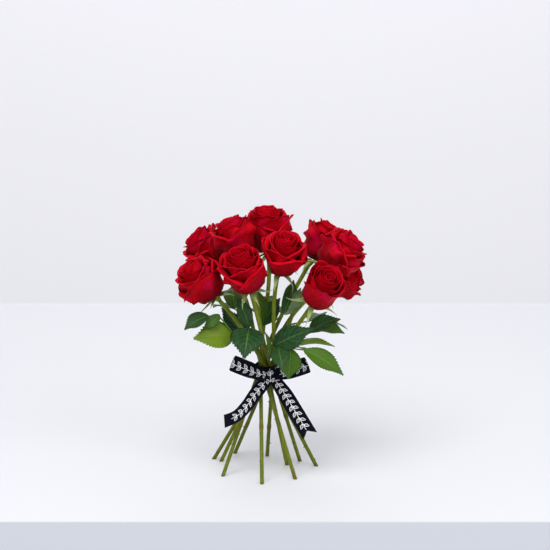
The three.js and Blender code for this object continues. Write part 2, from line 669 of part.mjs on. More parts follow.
const bunch = new THREE.Group();
roses.forEach((rose, i) => bunch.add(bloomMesh(rose, i + 1), stemMesh(rose, i + 1)));
bunch.add(twineMesh(), ribbonMesh());

// The middle of the bunch stands over the origin.
const extent = new THREE.Box3().setFromObject(bunch);
const middle = extent.getCenter(new THREE.Vector3());
bunch.position.set(-middle.x, -middle.y, -extent.min.z);

export default bunch;
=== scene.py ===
import json
import math

import bpy
import numpy as np
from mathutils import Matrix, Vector


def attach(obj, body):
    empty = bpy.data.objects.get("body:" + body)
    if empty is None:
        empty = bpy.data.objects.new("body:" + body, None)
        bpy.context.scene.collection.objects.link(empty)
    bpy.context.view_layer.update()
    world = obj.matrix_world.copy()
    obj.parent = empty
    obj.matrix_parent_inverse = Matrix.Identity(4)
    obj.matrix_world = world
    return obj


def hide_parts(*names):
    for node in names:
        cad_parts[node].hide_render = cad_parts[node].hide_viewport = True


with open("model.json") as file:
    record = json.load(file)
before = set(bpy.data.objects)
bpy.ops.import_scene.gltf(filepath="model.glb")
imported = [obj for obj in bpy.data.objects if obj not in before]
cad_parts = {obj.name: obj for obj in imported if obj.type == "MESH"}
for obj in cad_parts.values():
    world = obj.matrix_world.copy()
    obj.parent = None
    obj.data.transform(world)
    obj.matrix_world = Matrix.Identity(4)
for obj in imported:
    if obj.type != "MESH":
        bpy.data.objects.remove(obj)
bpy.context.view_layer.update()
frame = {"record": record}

# Sizes are in millimetres about the axis through the tie, which shift moves to the frame's own origin.
tieHeight = 132
goldenAngle = 137.508  # degrees from one petal to the next

# Each rose: where its cut end stands, where it passes the tie, where its bloom sits, the heading and tilt it
# looks along, its size, how far it is open, a turn of its sepals and petals, how ragged its rims are, and a
# turn of its petals alone.
roses = [
    {"foot": (64, 9), "tie": (0.1, -10), "neck": (-65, -20, 231), "looks": (199, 42),
     "size": 1, "open": 1.0, "spin": 20, "ragged": 1.5, "turn": 40},
    {"foot": (36, -49), "tie": (-5.5, -7.9), "neck": (-58, 36, 263), "looks": (180, 47),
     "size": 0.96, "open": 0.95, "spin": 75, "ragged": 1.9, "turn": -80},
    {"foot": (26, 14), "tie": (-0.3, -4), "neck": (-29, -4, 279), "looks": (172, 24),
     "size": 0.95, "open": 0.75, "spin": 140, "ragged": 1.0, "turn": 180},
    {"foot": (-6, -70), "tie": (-7.9, -2.1), "neck": (2, 28, 278), "looks": (200, 5),
     "size": 1.08, "open": 1, "spin": 200, "ragged": 1.1, "turn": -60},
    {"foot": (43, 32), "tie": (5.8, -7), "neck": (-21, -40, 244), "looks": (238, 27),
     "size": 1.04, "open": 0.9, "spin": 250, "ragged": 0.8, "turn": 85},
    {"foot": (0, 56), "tie": (8, 4.8), "neck": (15, -30, 264), "looks": (296, 27),
     "size": 0.98, "open": 1, "spin": 310, "ragged": 0.7, "turn": 130},
    {"foot": (-56, -36), "tie": (-8.6, 4.9), "neck": (58, 44, 266), "looks": (13, 31),
     "size": 0.96, "open": 0.8, "spin": 15, "ragged": 1.4, "turn": -40},
    {"foot": (-70, 42), "tie": (3.6, 9.5), "neck": (73, 4, 264), "looks": (353, 48),
     "size": 1, "open": 1.0, "spin": 85, "ragged": 2.1, "turn": -80},
    {"foot": (-60, 31), "tie": (-2.9, 6.1), "neck": (76, 40, 230), "looks": (16, 67),
     "size": 0.9, "open": 1, "spin": 123, "ragged": 2.4, "turn": 0},
    {"foot": (-43, 69), "tie": (5, -0.5), "neck": (60, -36, 228), "looks": (300, 44),
     "size": 0.96, "open": 0.5, "spin": 170, "ragged": 1.2, "turn": 90},
]

restingFace = frame["record"]["mounts"][0]["pos_m"]  # the middle of the fourth rose's cut end
shift = np.array([1000 * restingFace[i] - roses[3]["foot"][i] for i in range(2)] + [0])


def lerp(a, b, share):
    return a + (b - a) * share


def smooth(low, high, x):
    t = np.clip((np.asarray(x, float) - low) / (high - low), 0, 1)
    return t * t * (3 - 2 * t)


# A repeatable number from -1 to 1 for petal, sepal or leaf k of a rose.
def wobble(number, k, channel):
    s = math.sin(number * 12.9898 + k * 78.233 + channel * 37.719) * 43758.5453
    return 2 * (s - math.floor(s)) - 1


# Moves each row but the first and the last towards its neighbours.
def soften(rows):
    rows[1:-1] = (rows[:-2] + 2 * rows[1:-1] + rows[2:]) / 4


def unit(v):
    v = np.asarray(v, float)
    return v / np.maximum(np.linalg.norm(v, axis=-1, keepdims=True), 1e-9)


def facing(looks):
    heading, lean = (math.radians(a) for a in looks)
    return np.array([math.cos(heading) * math.sin(lean), math.sin(heading) * math.sin(lean), math.cos(lean)])


def turnTo(axis):
    return np.array(Vector((0, 0, 1)).rotation_difference(Vector(axis)).to_matrix())


# Gathers sheets of points into one mesh of closed thin blades, with a flat map, a side and a tone.
class Skin:
    barUnder, capTone = 0.3, 0.5  # a bar looks part way like the back of a blade

    def __init__(self):
        self.points, self.faces, self.caps, self.flat, self.under, self.tone = [], [], [], [], [], []
        self.count = 0

    def blade(self, grid, flat, thickness, tone=0.0, facesDown=False):
        rows, columns, _ = grid.shape
        normal = unit(np.cross(np.gradient(grid, axis=1), np.gradient(grid, axis=0)))
        half = normal * (thickness / 2)
        index = np.arange(rows * columns).reshape(rows, columns) + self.count
        a, b, c, d = index[:-1, :-1], index[:-1, 1:], index[1:, 1:], index[1:, :-1]
        front = np.stack([a, b, c, d], -1).reshape(-1, 4)
        behind = np.stack([a, d, c, b], -1).reshape(-1, 4) + rows * columns
        border = np.concatenate([index[0, :-1], index[:-1, -1], index[-1, :0:-1], index[:0:-1, 0]])
        border = np.append(border, border[0])
        across = border + rows * columns
        wall = np.stack([border[:-1], across[:-1], across[1:], border[1:]], -1)
        self.points += [(grid + half).reshape(-1, 3), (grid - half).reshape(-1, 3)]
        self.faces += [front, behind, wall]
        self.flat += [flat.reshape(-1, 2)] * 2
        sides = [float(facesDown), float(not facesDown), 0.5]
        self.under += [np.full(len(f), side) for f, side in zip((front, behind, wall), sides)]
        self.tone += [np.full(len(front) * 2 + len(wall), tone)]
        self.count += 2 * rows * columns

    # A round bar of rings. Each end is drawn in to a small ring and capped.
    def bar(self, rings, tone):
        ends = [ring.mean(0) + 0.02 * (ring - ring.mean(0)) for ring in (rings[0], rings[-1])]
        rings = np.concatenate([ends[0][None], rings, ends[1][None]])
        rows, sides, _ = rings.shape
        index = np.arange(rows * sides).reshape(rows, sides) + self.count
        turned = np.roll(index, -1, axis=1)
        walls = np.stack([index[:-1], turned[:-1], turned[1:], index[1:]], -1).reshape(-1, 4)
        flat = np.stack(np.meshgrid(np.linspace(0, 1, sides), np.linspace(0, 1, rows)), -1)
        self.points.append(rings.reshape(-1, 3))
        self.faces += [walls]
        self.caps += [list(index[0, ::-1]), list(index[-1])]
        self.flat.append(flat.reshape(-1, 2))
        self.under.append(np.full(len(walls), self.barUnder))
        self.tone.append(np.full(len(walls), tone))
        self.count += rows * sides

    def piece(self, name, look):
        points, faces = np.concatenate(self.points), np.concatenate(self.faces)
        corners = np.append(faces.reshape(-1), np.array([i for cap in self.caps for i in cap], int))
        self.under.append(np.full(len(self.caps), self.barUnder))
        self.tone.append(np.full(len(self.caps), self.capTone))
        piece = meshPiece(name, points, [*faces, *self.caps], look)
        layer = piece.data.uv_layers.new(name="flat")
        layer.uv.foreach_set("vector", np.concatenate(self.flat)[corners].astype(np.float32).ravel())
        for key, values in (("under", self.under), ("tone", self.tone)):
            attribute = piece.data.attributes.new(key, "FLOAT", "FACE")
            attribute.data.foreach_set("value", np.concatenate(values).astype(np.float32))
        return piece


# A plain mesh from points in millimetres, moved to the frame's own place unless it is only a motif.
def meshPiece(name, points, faces, look=None, place=True):
    mesh = bpy.data.meshes.new(name)
    world = (np.asarray(points) + (shift if place else 0)) / 1000
    mesh.from_pydata(world.tolist(), [], [list(map(int, face)) for face in faces])
    mesh.shade_smooth()
    mesh.update()
    piece = bpy.data.objects.new(name, mesh)
    bpy.context.scene.collection.objects.link(piece)
    if look:
        mesh.materials.append(look)
    return piece


# Says which body a piece rides on and which solids it stands for.
def settle(piece, slot, *nodes):
    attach(piece, "root")
    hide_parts(*nodes)
    return piece


# An output socket whose arithmetic adds the Math nodes that work it out.
class Value:
    def __init__(self, tree, socket):
        self.tree, self.socket = tree, socket

    def __add__(self, other):
        return self.tree.maths("ADD", self, other)

    def __radd__(self, other):
        return self.tree.maths("ADD", other, self)

    def __sub__(self, other):
        return self.tree.maths("SUBTRACT", self, other)

    def __rsub__(self, other):
        return self.tree.maths("SUBTRACT", other, self)

    def __mul__(self, other):
        return self.tree.maths("MULTIPLY", self, other)

    def __rmul__(self, other):
        return self.tree.maths("MULTIPLY", other, self)

    def __truediv__(self, other):
        return self.tree.maths("DIVIDE", self, other)

    def __abs__(self):
        return self.tree.maths("ABSOLUTE", self)


# Builds the nodes of a shader or geometry tree.
class Tree:
    def __init__(self, nodes):
        self.nodes = nodes

    def node(self, kind, settings=None, sockets=None, output=0):
        made = self.nodes.nodes.new(kind)
        for key, value in (settings or {}).items():
            setattr(made, key, value)
        for key, value in (sockets or {}).items():
            if isinstance(value, Value):
                self.nodes.links.new(value.socket, made.inputs[key])
            else:
                made.inputs[key].default_value = value
        return Value(self, made.outputs[output])

    def out(self, value, output):
        return Value(self, value.socket.node.outputs[output])

    def maths(self, operation, first, second=0.0):
        return self.node("ShaderNodeMath", {"operation": operation}, {0: first, 1: second})

    def vectors(self, operation, first, second=(0, 0, 0), scale=None):
        sockets = {0: first, 1: second} if scale is None else {0: first, "Scale": scale}
        return self.node("ShaderNodeVectorMath", {"operation": operation}, sockets)

    def split(self, vector):
        made = self.node("ShaderNodeSeparateXYZ", None, {0: vector})
        return [self.out(made, i) for i in range(3)]

    def step(self, value, low, high):
        settings = {"interpolation_type": "SMOOTHSTEP"}
        return self.node("ShaderNodeMapRange", settings, {"Value": value, "From Min": low, "From Max": high})

    def mix(self, factor, first, second):
        sockets = {0: factor}
        for key, colour in ((6, first), (7, second)):
            sockets[key] = colour if isinstance(colour, Value) else (*colour, 1)
        return self.node("ShaderNodeMix", {"data_type": "RGBA"}, sockets, 2)

    def noise(self, place, scale, detail=2.0, rough=0.5, squeeze=None):
        if squeeze:
            place = self.vectors("MULTIPLY", place, squeeze)
        sockets = {"Vector": place, "Scale": scale, "Detail": detail, "Roughness": rough}
        return self.node("ShaderNodeTexNoise", None, sockets)

    def attribute(self, name):
        return self.node("ShaderNodeAttribute", {"attribute_name": name}, None, 2)


# A principled material. Names of sockets are written with _ for a space.
class Look(Tree):
    def __init__(self, name, **even):
        self.material = bpy.data.materials.new(name)
        self.material.use_nodes = True
        super().__init__(self.material.node_tree)
        self.shader = self.nodes.nodes["Principled BSDF"]
        for key, value in even.items():
            self.shader.inputs[key.replace("_", " ")].default_value = value
        self.place = self.node("ShaderNodeTexCoord", None, None, 3)

    def flat(self):
        return self.node("ShaderNodeUVMap", {"uv_map": "flat"})

    def varies(self, **over):
        for key, value in over.items():
            self.nodes.links.new(value.socket, self.shader.inputs[key.replace("_", " ")])
        return self.material

    def bump(self, height, distance, strength):
        sockets = {"Height": height, "Distance": distance, "Strength": strength}
        return self.node("ShaderNodeBump", None, sockets)


petalPaint = {
    # The insides are a little brighter than the backs: partly the petals' own two tones, partly painted light
    # on the upturned insides.
    "inside": (0.60, 0.0, 0.010),
    "outside": (0.52, 0.0, 0.008),
    # The pink patches on the petals' backs are partly their own tint and partly a painted sheen highlight.
    "blushAndSheen": (0.62, 0.0, 0.06),  # in patches on the backs
    # Painted shade: the deep red darkens each petal low down, where the petals outside it shade it; it also
    # darkens the mottle.
    "deep": (0.06, 0.0, 0.001),  # low between the petals
    "rim": (0.2, 0.0, 0.008),
    "sheen": 0.08,
    "sheenTint": (1, 0.0, 0.08, 1),
    "mottleScale": 260,
    "blushAndSheenScale": 45,
    "veinScale": 9,
    "bump": 0.00035,
}


# Velvety petals: scarlet within and deeper on their backs, partly as painted light on the upturned insides;
# pink patches on the backs, partly a painted sheen highlight; darker at the rim; and painted shade low down
# on each petal, below the petals outside it.
def petalLook():
    c = petalPaint
    sheen = {"Sheen_Weight": c["sheen"], "Sheen_Roughness": 0.3, "Sheen_Tint": c["sheenTint"]}
    look = Look("rosePetal", IOR=1.14, **sheen)
    up = look.split(look.flat())[1]
    under, tone = look.attribute("under"), look.attribute("tone")
    mottle = look.noise(look.place, c["mottleScale"], 3)
    veins = look.noise(look.flat(), c["veinScale"], 4, 0.6, (16, 1.2, 1))
    # Pink patches on the backs: partly the petals' own tint, partly a painted sheen highlight.
    patches = look.step(look.noise(look.place, c["blushAndSheenScale"], 1), 0.5, 0.75)
    back = look.mix(patches * 0.5, c["outside"], c["blushAndSheen"])
    colour = look.mix(under, c["inside"], back)
    colour = look.mix(look.step(mottle + 0.6 * veins, 0.62, 1.15) * 0.35, colour, c["deep"])
    # Painted shade: each petal darkens below its rim, where the petals outside it shade it.
    paintedShade = look.step(up, 1 - 0.15 * tone, 0.66 - 0.56 * tone)  # inner petals darken sooner below their rims
    colour = look.mix(paintedShade * 0.85, colour, c["deep"])
    rim = look.step(up + 0.04 * veins, 0.975, 1.02) * tone
    colour = look.mix(rim * 0.6, colour, c["rim"])
    bump = look.bump(0.6 * veins + 0.4 * mottle, c["bump"], 0.5)
    return look.varies(Base_Color=colour, Roughness=0.5 + 0.25 * mottle, Normal=bump)


petals = {
    "count": 22,
    "thickness": 0.34,
    "height": 47.5,
    "dome": 2,  # how much higher the rims half-way out stand
    "drop": 12,  # how much lower an open bloom's outermost rims lie
    "belly": (4.4, 23.5),  # pairs give the innermost and the outermost petal's value
    "bellyPower": 0.92,
    "base": (1.4, 3.6),
    "baseHeight": (4, 0),
    "halfWidth": (13, 30),
    "lean": (-6, 31),
    "leanPower": 1.6,
    "turn": {"share": 0.7, "length": 0.62, "power": 1.4},  # how a petal turns upright round its belly
    "tip": (1.2, 4),
    "rollRadius": (4, 5.2),
    "roll": 11,
    "rollStart": (0.75, 0.5),  # how far below the rim the roll starts, and how much more at the sides
    "sideRoll": {"share": 0.8, "radius": 7, "from": 0.72},
    "ruffle": (0.2, 1.0),
    "ruffleRagged": (0.4, 0.8),
    "startSlope": 82,
    "claw": 0.2,
    "widest": 0.6,
    "shoulder": 0.2,
    "shoulderPower": 3.2,
    "wrap": 1.75,
    "tuck": (1.3, 0.7),  # how far out one side of a petal stands over the next, and how far in the other
    "seat": 0.3,
    "centre": 27,  # from the neck to the middle of the bloom
    "near": 80,
    "soft": 9,  # how far from a neighbour a petal starts to bend
    "clearance": 0.35,
    "gap": 0.6,  # between one petal and the next
    "ragged": {"wide": 0.7, "fine": 0.55, "points": 1.6, "sharp": 8},
    "crimp": 0.3,
    "vary": {"rim": 1.2, "drop": 0.2, "lean": 2, "width": 0.05, "spin": 8, "roll": 0.2},
    # Waves across a petal: radians from its middle to a side, how far they are shifted, and their draw.
    "waves": {"wide": (7, 5, 7), "fine": (16, 9, 8), "points": (6, 6, 11), "ruffle": (5, 3, 6),
              "crimp": (13, 7, 9)},
    # Shares of the way out from the heart, and of the way up a petal, between which each of these sets in.
    "grows": {"drop": (0.4, 1), "roll": (0.15, 0.95), "sideRoll": (0.55, 1), "tip": (0.5, 1),
              "ragged": (0.4, 1), "ruffle": (0.3, 1)},
    "rises": {"sideRoll": (0.6, 0.98), "ruffle": (0.55, 1), "crimp": (0.8, 1), "tuck": (0.1, 0.5)},
    "columns": 27,
    "rows": 24,
    "firstRow": 0.04,
    "crowding": 1.25,  # of the rows at the rim
    "spare": 12,  # how far past the rim its side view goes on
}


# One petal's middle surface in its bloom's own place, its flat map, and how far out it is, from 0 to 1.
def petalGrid(rose, number, k):
    p, vary, rough = petals, petals["vary"], petals["ragged"]
    s = 1 - k / (p["count"] - 1)

    def between(key, share=s):
        return lerp(*p[key], share)

    def w(channel):
        return wobble(number, k, channel)

    def grows(key):
        return float(smooth(*p["grows"][key], s))

    def rises(key):
        return smooth(*p["rises"][key], t)

    def waves(key):
        count, shift, channel = p["waves"][key]
        return np.sin(count * u + shift * w(channel))

    baseRadius = between("base")
    belly = between("belly", s ** p["bellyPower"])
    turn = (belly - baseRadius) / p["turn"]["share"]  # the length over which the petal turns upright
    rim = p["height"] + p["dome"] * (math.sin(math.pi * s) - s) + vary["rim"] * w(1)
    rim -= p["drop"] * rose["open"] * grows("drop") * (1 - vary["drop"] + vary["drop"] * w(10))
    length = turn * p["turn"]["length"] + rim
    leanTop = lerp(p["lean"][0], p["lean"][1] * rose["open"], s ** p["leanPower"]) + vary["lean"] * w(2)
    halfWidth = min(belly * p["wrap"], between("halfWidth")) * (1 + vary["width"] * w(3))
    spin = math.radians(rose["spin"] + rose["turn"] - k * goldenAngle + vary["spin"] * w(4))
    roll = p["roll"] * rose["open"] * grows("roll") * (1 + vary["roll"] * w(5))
    sideRoll = p["sideRoll"]["share"] * rose["open"] * grows("sideRoll")
    tip = between("tip", grows("tip"))
    ragged = rose["ragged"] * grows("ragged")
    even, added = p["ruffleRagged"]
    ruffle = between("ruffle", grows("ruffle")) * (even + added * ragged)
    places = 1 - (1 - np.linspace(p["firstRow"], 1, p["rows"])) ** p["crowding"]
    u, t = np.meshgrid(np.linspace(-1, 1, p["columns"]), places)

    width = halfWidth * lerp(p["claw"], 1, smooth(0, p["widest"], t))
    reach = length * (1 - p["shoulder"] * np.abs(u) ** p["shoulderPower"]) + tip * (1 - np.abs(u)) ** 2
    reach += ragged * (rough["wide"] * waves("wide") + rough["fine"] * waves("fine"))
    reach += ragged * rough["points"] * np.maximum(0, waves("points")) ** rough["sharp"]
    sideRadius = p["sideRoll"]["radius"] / np.maximum(1e-3, sideRoll * rises("sideRoll"))
    x, offSide = rolled(np.abs(u) * width, p["sideRoll"]["from"] * width, sideRadius)
    middle, side = p["rollStart"]
    y, offTop = rolled(t * reach, reach - roll * (middle + side * u * u), between("rollRadius"))

    step = 0.5
    arc = np.arange(0, length + p["spare"], step)
    start = math.radians(p["startSlope"])
    lean = math.radians(leanTop) * smooth(turn, length, arc + step / 2)
    slope = lerp(start, lean, smooth(0, turn, arc + step / 2) ** p["turn"]["power"])
    r = baseRadius + np.concatenate([[0], np.cumsum(step * np.sin(slope))[:-1]])
    z = between("baseHeight") + np.concatenate([[0], np.cumsum(step * np.cos(slope))[:-1]])
    r, z, slope = (np.interp(y, arc, values) for values in (r, z, slope))

    wave = ruffle * waves("ruffle") * rises("ruffle")
    wave += p["crimp"] * s * waves("crimp") * rises("crimp")
    off = offSide + offTop + wave + between("tuck") * u * rises("tuck")
    azimuth = spin + np.sign(u) * x / np.maximum(r, p["base"][0] + 1)
    out = r + off * np.cos(slope)
    grid = np.stack([out * np.cos(azimuth), out * np.sin(azimuth), z - off * np.sin(slope)], -1)
    return grid, np.stack([(u + 1) / 2, t], -1), s


# Bends a distance past its start round a roll: the distance along, and the distance off.
def rolled(distance, start, radius):
    turned = np.minimum(np.maximum(distance - start, 0) / radius, 2.6)  # radians
    return np.minimum(distance, start) + radius * np.sin(turned), radius * (1 - np.cos(turned))


def centreOf(rose):
    return np.array(rose["neck"]) + facing(rose["looks"]) * petals["centre"] * rose["size"]


# Petals bend to stay on their own side of the plane between two blooms that press on each other.
def pressed(grid, rose):
    centre = centreOf(rose)
    for other in roses:
        apart = centreOf(other) - centre
        if other is rose or np.linalg.norm(apart) > petals["near"]:
            continue
        away = unit(apart)
        share = rose["size"] / (rose["size"] + other["size"])
        beyond = grid @ away - away @ (centre + apart * share) + petals["soft"]
        room = petals["soft"] - petals["clearance"] - 1
        move = np.where(beyond > 0, room * (1 - np.exp(-np.maximum(beyond, 0) / room)) - beyond, 0)
        grid = grid + move[..., None] * away
    return grid


# How far out the petals already placed reach, by azimuth and height: each new petal is eased out beyond them.
class Reach:
    turns, heights, below = 120, 70, 10  # cells round the bloom, millimetres up it, and those below its seat

    def __init__(self):
        self.out = np.zeros((self.turns, self.heights))

    def places(self, grid):
        turn = np.arctan2(grid[..., 1], grid[..., 0]) / (2 * math.pi) * self.turns
        height = np.clip(grid[..., 2] + self.below, 0, self.heights - 1.01)
        return turn, height, np.hypot(grid[..., 0], grid[..., 1])

    # The furthest reach in the cells round each one.
    def spread(self):
        wide = np.pad(self.out, ((0, 0), (1, 1)), mode="edge")
        wide = np.maximum(np.maximum(wide[:, :-2], wide[:, 2:]), wide[:, 1:-1])
        return np.maximum(np.maximum(np.roll(wide, 1, 0), np.roll(wide, -1, 0)), wide)

    def at(self, turn, height):
        reach = self.spread()
        a, h = np.floor(turn).astype(int), np.floor(height).astype(int)
        x, y = turn - a, height - h
        a, b = a % self.turns, (a + 1) % self.turns
        low = reach[a, h] * (1 - x) + reach[b, h] * x
        high = reach[a, h + 1] * (1 - x) + reach[b, h + 1] * x
        return low * (1 - y) + high * y

    def eased(self, grid, gap):
        turn, height, out = self.places(grid)
        short = np.maximum(self.at(turn, height) + gap - out, 0)
        short[: len(short) // 6] = 0  # the claws stay on the hip
        room = short
        for _ in range(10):
            wide = np.pad(room, 1, mode="edge")
            beside = wide[:-2, 1:-1] + wide[2:, 1:-1] + wide[1:-1, :-2] + wide[1:-1, 2:]
            room = np.maximum(short, (beside + 2 * room) / 6)
        grow = 1 + room / np.maximum(out, 1)
        return grid * np.stack([grow, grow, np.ones_like(grow)], -1)

    # Adds a petal, four times as finely as it is drawn so that no cell is missed.
    def note(self, grid):
        for axis in (0, 1, 0, 1):
            count = grid.shape[axis]
            nearer, further = np.take(grid, range(count - 1), axis), np.take(grid, range(1, count), axis)
            grid = woven(grid, (nearer + further) / 2, axis)
        turn, height, out = self.places(grid)
        a, h = np.round(turn).astype(int) % self.turns, np.round(height).astype(int)
        np.maximum.at(self.out, (a.ravel(), h.ravel()), out.ravel())


# Rows of two arrays, taken by turns.
def woven(first, second, axis):
    shape = list(first.shape)
    shape[axis] += second.shape[axis]
    made = np.empty(shape)
    spot = [slice(None)] * first.ndim
    spot[axis] = slice(0, None, 2)
    made[tuple(spot)] = first
    spot[axis] = slice(1, None, 2)
    made[tuple(spot)] = second
    return made


def makeBlooms(look):
    for number, rose in enumerate(roses, 1):
        axis = facing(rose["looks"])
        turn = turnTo(axis)
        base = np.array(rose["neck"]) + axis * petals["seat"]
        skin = Skin()
        reach = Reach()
        for k in reversed(range(petals["count"])):
            grid, flat, s = petalGrid(rose, number, k)
            grid = reach.eased(grid, petals["gap"])
            reach.note(grid)
            grid = pressed((grid * rose["size"]) @ turn.T + base, rose)
            skin.blade(grid, flat, petals["thickness"], tone=s, facesDown=True)
        settle(skin.piece(f"rose_{number:02d}_petals", look), "petal", f"rose_{number:02d}_bloom")
    print("blooms made:", len(roses), "of", petals["count"], "petals each")


# A geometry tree with a geometry in, a geometry out and a named input for each size.
class Grower(Tree):
    kinds = {int: "NodeSocketInt", float: "NodeSocketFloat",
             "object": "NodeSocketObject", "material": "NodeSocketMaterial"}

    def __init__(self, name, **sizes):
        super().__init__(bpy.data.node_groups.new(name, "GeometryNodeTree"))
        face = self.nodes.interface
        face.new_socket("Geometry", in_out="INPUT", socket_type="NodeSocketGeometry")
        for key, kind in sizes.items():
            face.new_socket(key, in_out="INPUT", socket_type=self.kinds[kind])
        face.new_socket("Geometry", in_out="OUTPUT", socket_type="NodeSocketGeometry")
        given = self.nodes.nodes.new("NodeGroupInput")
        self.start = Value(self, given.outputs["Geometry"])
        self.size = {key: Value(self, given.outputs[key]) for key in sizes}

    def geo(self, kind, settings=None, sockets=None, output=0):
        return self.node("GeometryNode" + kind, settings, sockets, output)

    def named(self, name, kind="FLOAT"):
        return self.geo("InputNamedAttribute", {"data_type": kind}, {"Name": name})

    def joined(self, *parts):
        made = self.nodes.nodes.new("GeometryNodeJoinGeometry")
        for part in parts:
            self.nodes.links.new(part.socket, made.inputs[0])
        return Value(self, made.outputs[0])

    def finished(self, geometry):
        whole = self.geo("RealizeInstances", None, {"Geometry": geometry})
        coated = self.geo("SetMaterial", None, {"Geometry": whole, "Material": self.size["material"]})
        out = self.nodes.nodes.new("NodeGroupOutput")
        self.nodes.links.new(coated.socket, out.inputs["Geometry"])
        return self.nodes


# Grows a tree on a piece, with the tree's inputs set by name, and keeps the result as a plain mesh.
def grown(piece, tree, **values):
    modifier = piece.modifiers.new(tree.name, "NODES")
    modifier.node_group = tree
    for item in tree.interface.items_tree:
        if item.in_out == "INPUT" and item.name in values:
            modifier[item.identifier] = values[item.name]
    graph = bpy.context.evaluated_depsgraph_get()
    ready = piece.evaluated_get(graph)
    made = bpy.data.meshes.new_from_object(ready, preserve_all_data_layers=True, depsgraph=graph)
    rough = piece.data
    piece.modifiers.clear()
    piece.data = made
    bpy.data.meshes.remove(rough)
    made.name = piece.name


# A chain of edges through points, with a number or a vector of each name at every point.
def polyline(name, points, **facts):
    line = meshPiece(name, points, [])
    last = len(points) - 1
    line.data.edges.add(last)
    line.data.edges.foreach_set("vertices", [i for k in range(last) for i in (k, k + 1)])
    for key, values in facts.items():
        values = np.asarray(values, np.float32)
        kind, field = ("FLOAT_VECTOR", "vector") if values.ndim == 2 else ("FLOAT", "value")
        attribute = line.data.attributes.new(key, kind, "POINT")
        attribute.data.foreach_set(field, values.ravel())
    return line


canes = {
    "foot": 2.45,  # radii of a cane from its cut end to its top
    "tie": 2.42,
    "top": 2.75,
    "node": 3.0,  # where an old leaf grew
    "nodeSpread": 3.2,
    "scar": {"at": 0.45, "spread": 0.12, "half": 0.02},
    "hipLength": 9,
    # The hip's places up to the neck, and its radius at each.
    "hipShape": [(-9, 2.75), (-6.5, 3.5), (-4.2, 4.4), (-2, 4.3), (0, 3.7)],
    "hipStart": 0.94,  # where the curve up to the neck gives way to the hip
    "bend": 0.38,
    "sides": 18,
    "rings": {"straight": 24, "curve": 26, "hip": 8},
    "closest": 0.4,  # between two rings
    # In metres. Below cutHeight a cane's end is slid down along it to the table. Prickles grow from low to
    # high and keep tieRoom away from the tie.
    "cutHeight": 0.0025,
    "thorns": {"density": 2600.0, "size": 1.0, "low": 0.012, "high": 0.19, "tieRoom": 0.022, "droop": 0.35},
    "thorn": {"Vertices": 6, "Radius Bottom": 0.0009, "Radius Top": 0.00006, "Depth": 0.0024},
    "thornSunk": 0.0003,
}


# A cane is straight from its foot to the tie, and a curve from there to its bloom's neck.
def caneLine(rose):
    foot, tie = np.array([*rose["foot"], 0.0]), np.array([*rose["tie"], tieHeight])
    neck = np.array(rose["neck"], float)
    reach = canes["bend"] * np.linalg.norm(neck - tie)
    handles = [tie, tie + unit(tie - foot) * reach, neck - facing(rose["looks"]) * reach, neck]
    return foot, tie, neck, handles


def bezier(handles, t):
    a, b, c, d = handles
    t = np.asarray(t, float)[..., None]
    return a * (1 - t) ** 3 + 3 * b * t * (1 - t) ** 2 + 3 * c * t**2 * (1 - t) + d * t**3


# Where the upper part of a cane passes a height.
def canePoint(rose, height):
    handles = caneLine(rose)[3]
    t = np.linspace(0, 1, 400)
    curve = bezier(handles, t)
    return curve[int(np.argmin(np.abs(curve[:, 2] - height)))]


# A cane is a round bar along a line, cut flat at its foot, with prickles scattered on it.
def caneGrower():
    tree = Grower("growCane", material="material", seed=int, density=float, thornSize=float)
    circle = tree.geo("CurvePrimitiveCircle", None, {"Resolution": canes["sides"], "Radius": 1.0})
    line = tree.geo("MeshToCurve", None, {"Mesh": tree.start})
    sweep = {"Curve": line, "Profile Curve": circle, "Scale": tree.named("girth"), "Fill Caps": True}
    bar = tree.geo("CurveToMesh", None, sweep)
    height = tree.split(tree.geo("InputPosition"))[2]
    rise = tree.named("rise", "FLOAT_VECTOR")
    low = tree.maths("LESS_THAN", height, canes["cutHeight"])
    slide = tree.vectors("SCALE", rise, scale=(0 - height) / tree.split(rise)[2])
    bar = tree.geo("SetPosition", None, {"Geometry": bar, "Selection": low, "Offset": slide})
    t = canes["thorns"]
    room = tree.maths("GREATER_THAN", abs(height - tieHeight / 1000), t["tieRoom"])
    stretch = tree.maths("GREATER_THAN", height, t["low"]) * tree.maths("LESS_THAN", height, t["high"])
    scatter = {"Density": tree.size["density"], "Seed": tree.size["seed"]}
    spots = tree.geo("DistributePointsOnFaces", None, {"Mesh": bar, "Selection": room * stretch, **scatter})
    droop = tree.vectors("ADD", tree.out(spots, 1), (0, 0, -t["droop"]))
    aim = tree.node("FunctionNodeAlignRotationToVector", {"axis": "Z"}, {"Vector": droop})
    cone = tree.geo("MeshCone", None, canes["thorn"])
    cone = tree.geo("Transform", None, {"Geometry": cone, "Translation": (0, 0, -canes["thornSunk"])})
    cone = tree.geo("StoreNamedAttribute", None, {"Geometry": cone, "Name": "thorn", "Value": 1.0})
    planted = {"Points": spots, "Instance": cone, "Rotation": aim, "Scale": tree.size["thornSize"]}
    thorns = tree.geo("RealizeInstances", None, {"Geometry": tree.geo("InstanceOnPoints", None, planted)})
    whole = tree.joined(bar, thorns)
    return tree.finished(tree.geo("SetShadeSmooth", None, {"Geometry": whole}))


canePaint = {
    "low": (0.135, 0.16, 0.009),
    "high": (0.24, 0.31, 0.02),
    "mottle": (0.07, 0.10, 0.006),
    "darkStreak": (0.05, 0.075, 0.004),
    "paleStreak": (0.34, 0.38, 0.05),
    "patch": (0.13, 0.055, 0.02),
    # Dark brown at the cut end: partly the cut's own colour, partly a painted shadow where the cane meets the
    # table.
    "cutEndAndShadow": (0.12, 0.07, 0.02),
    "thorn": (0.17, 0.06, 0.03),
    "mottleScale": 90,
    "streakScale": 500,
    "patchScale": 55,
    "ridgeScale": 700,
}
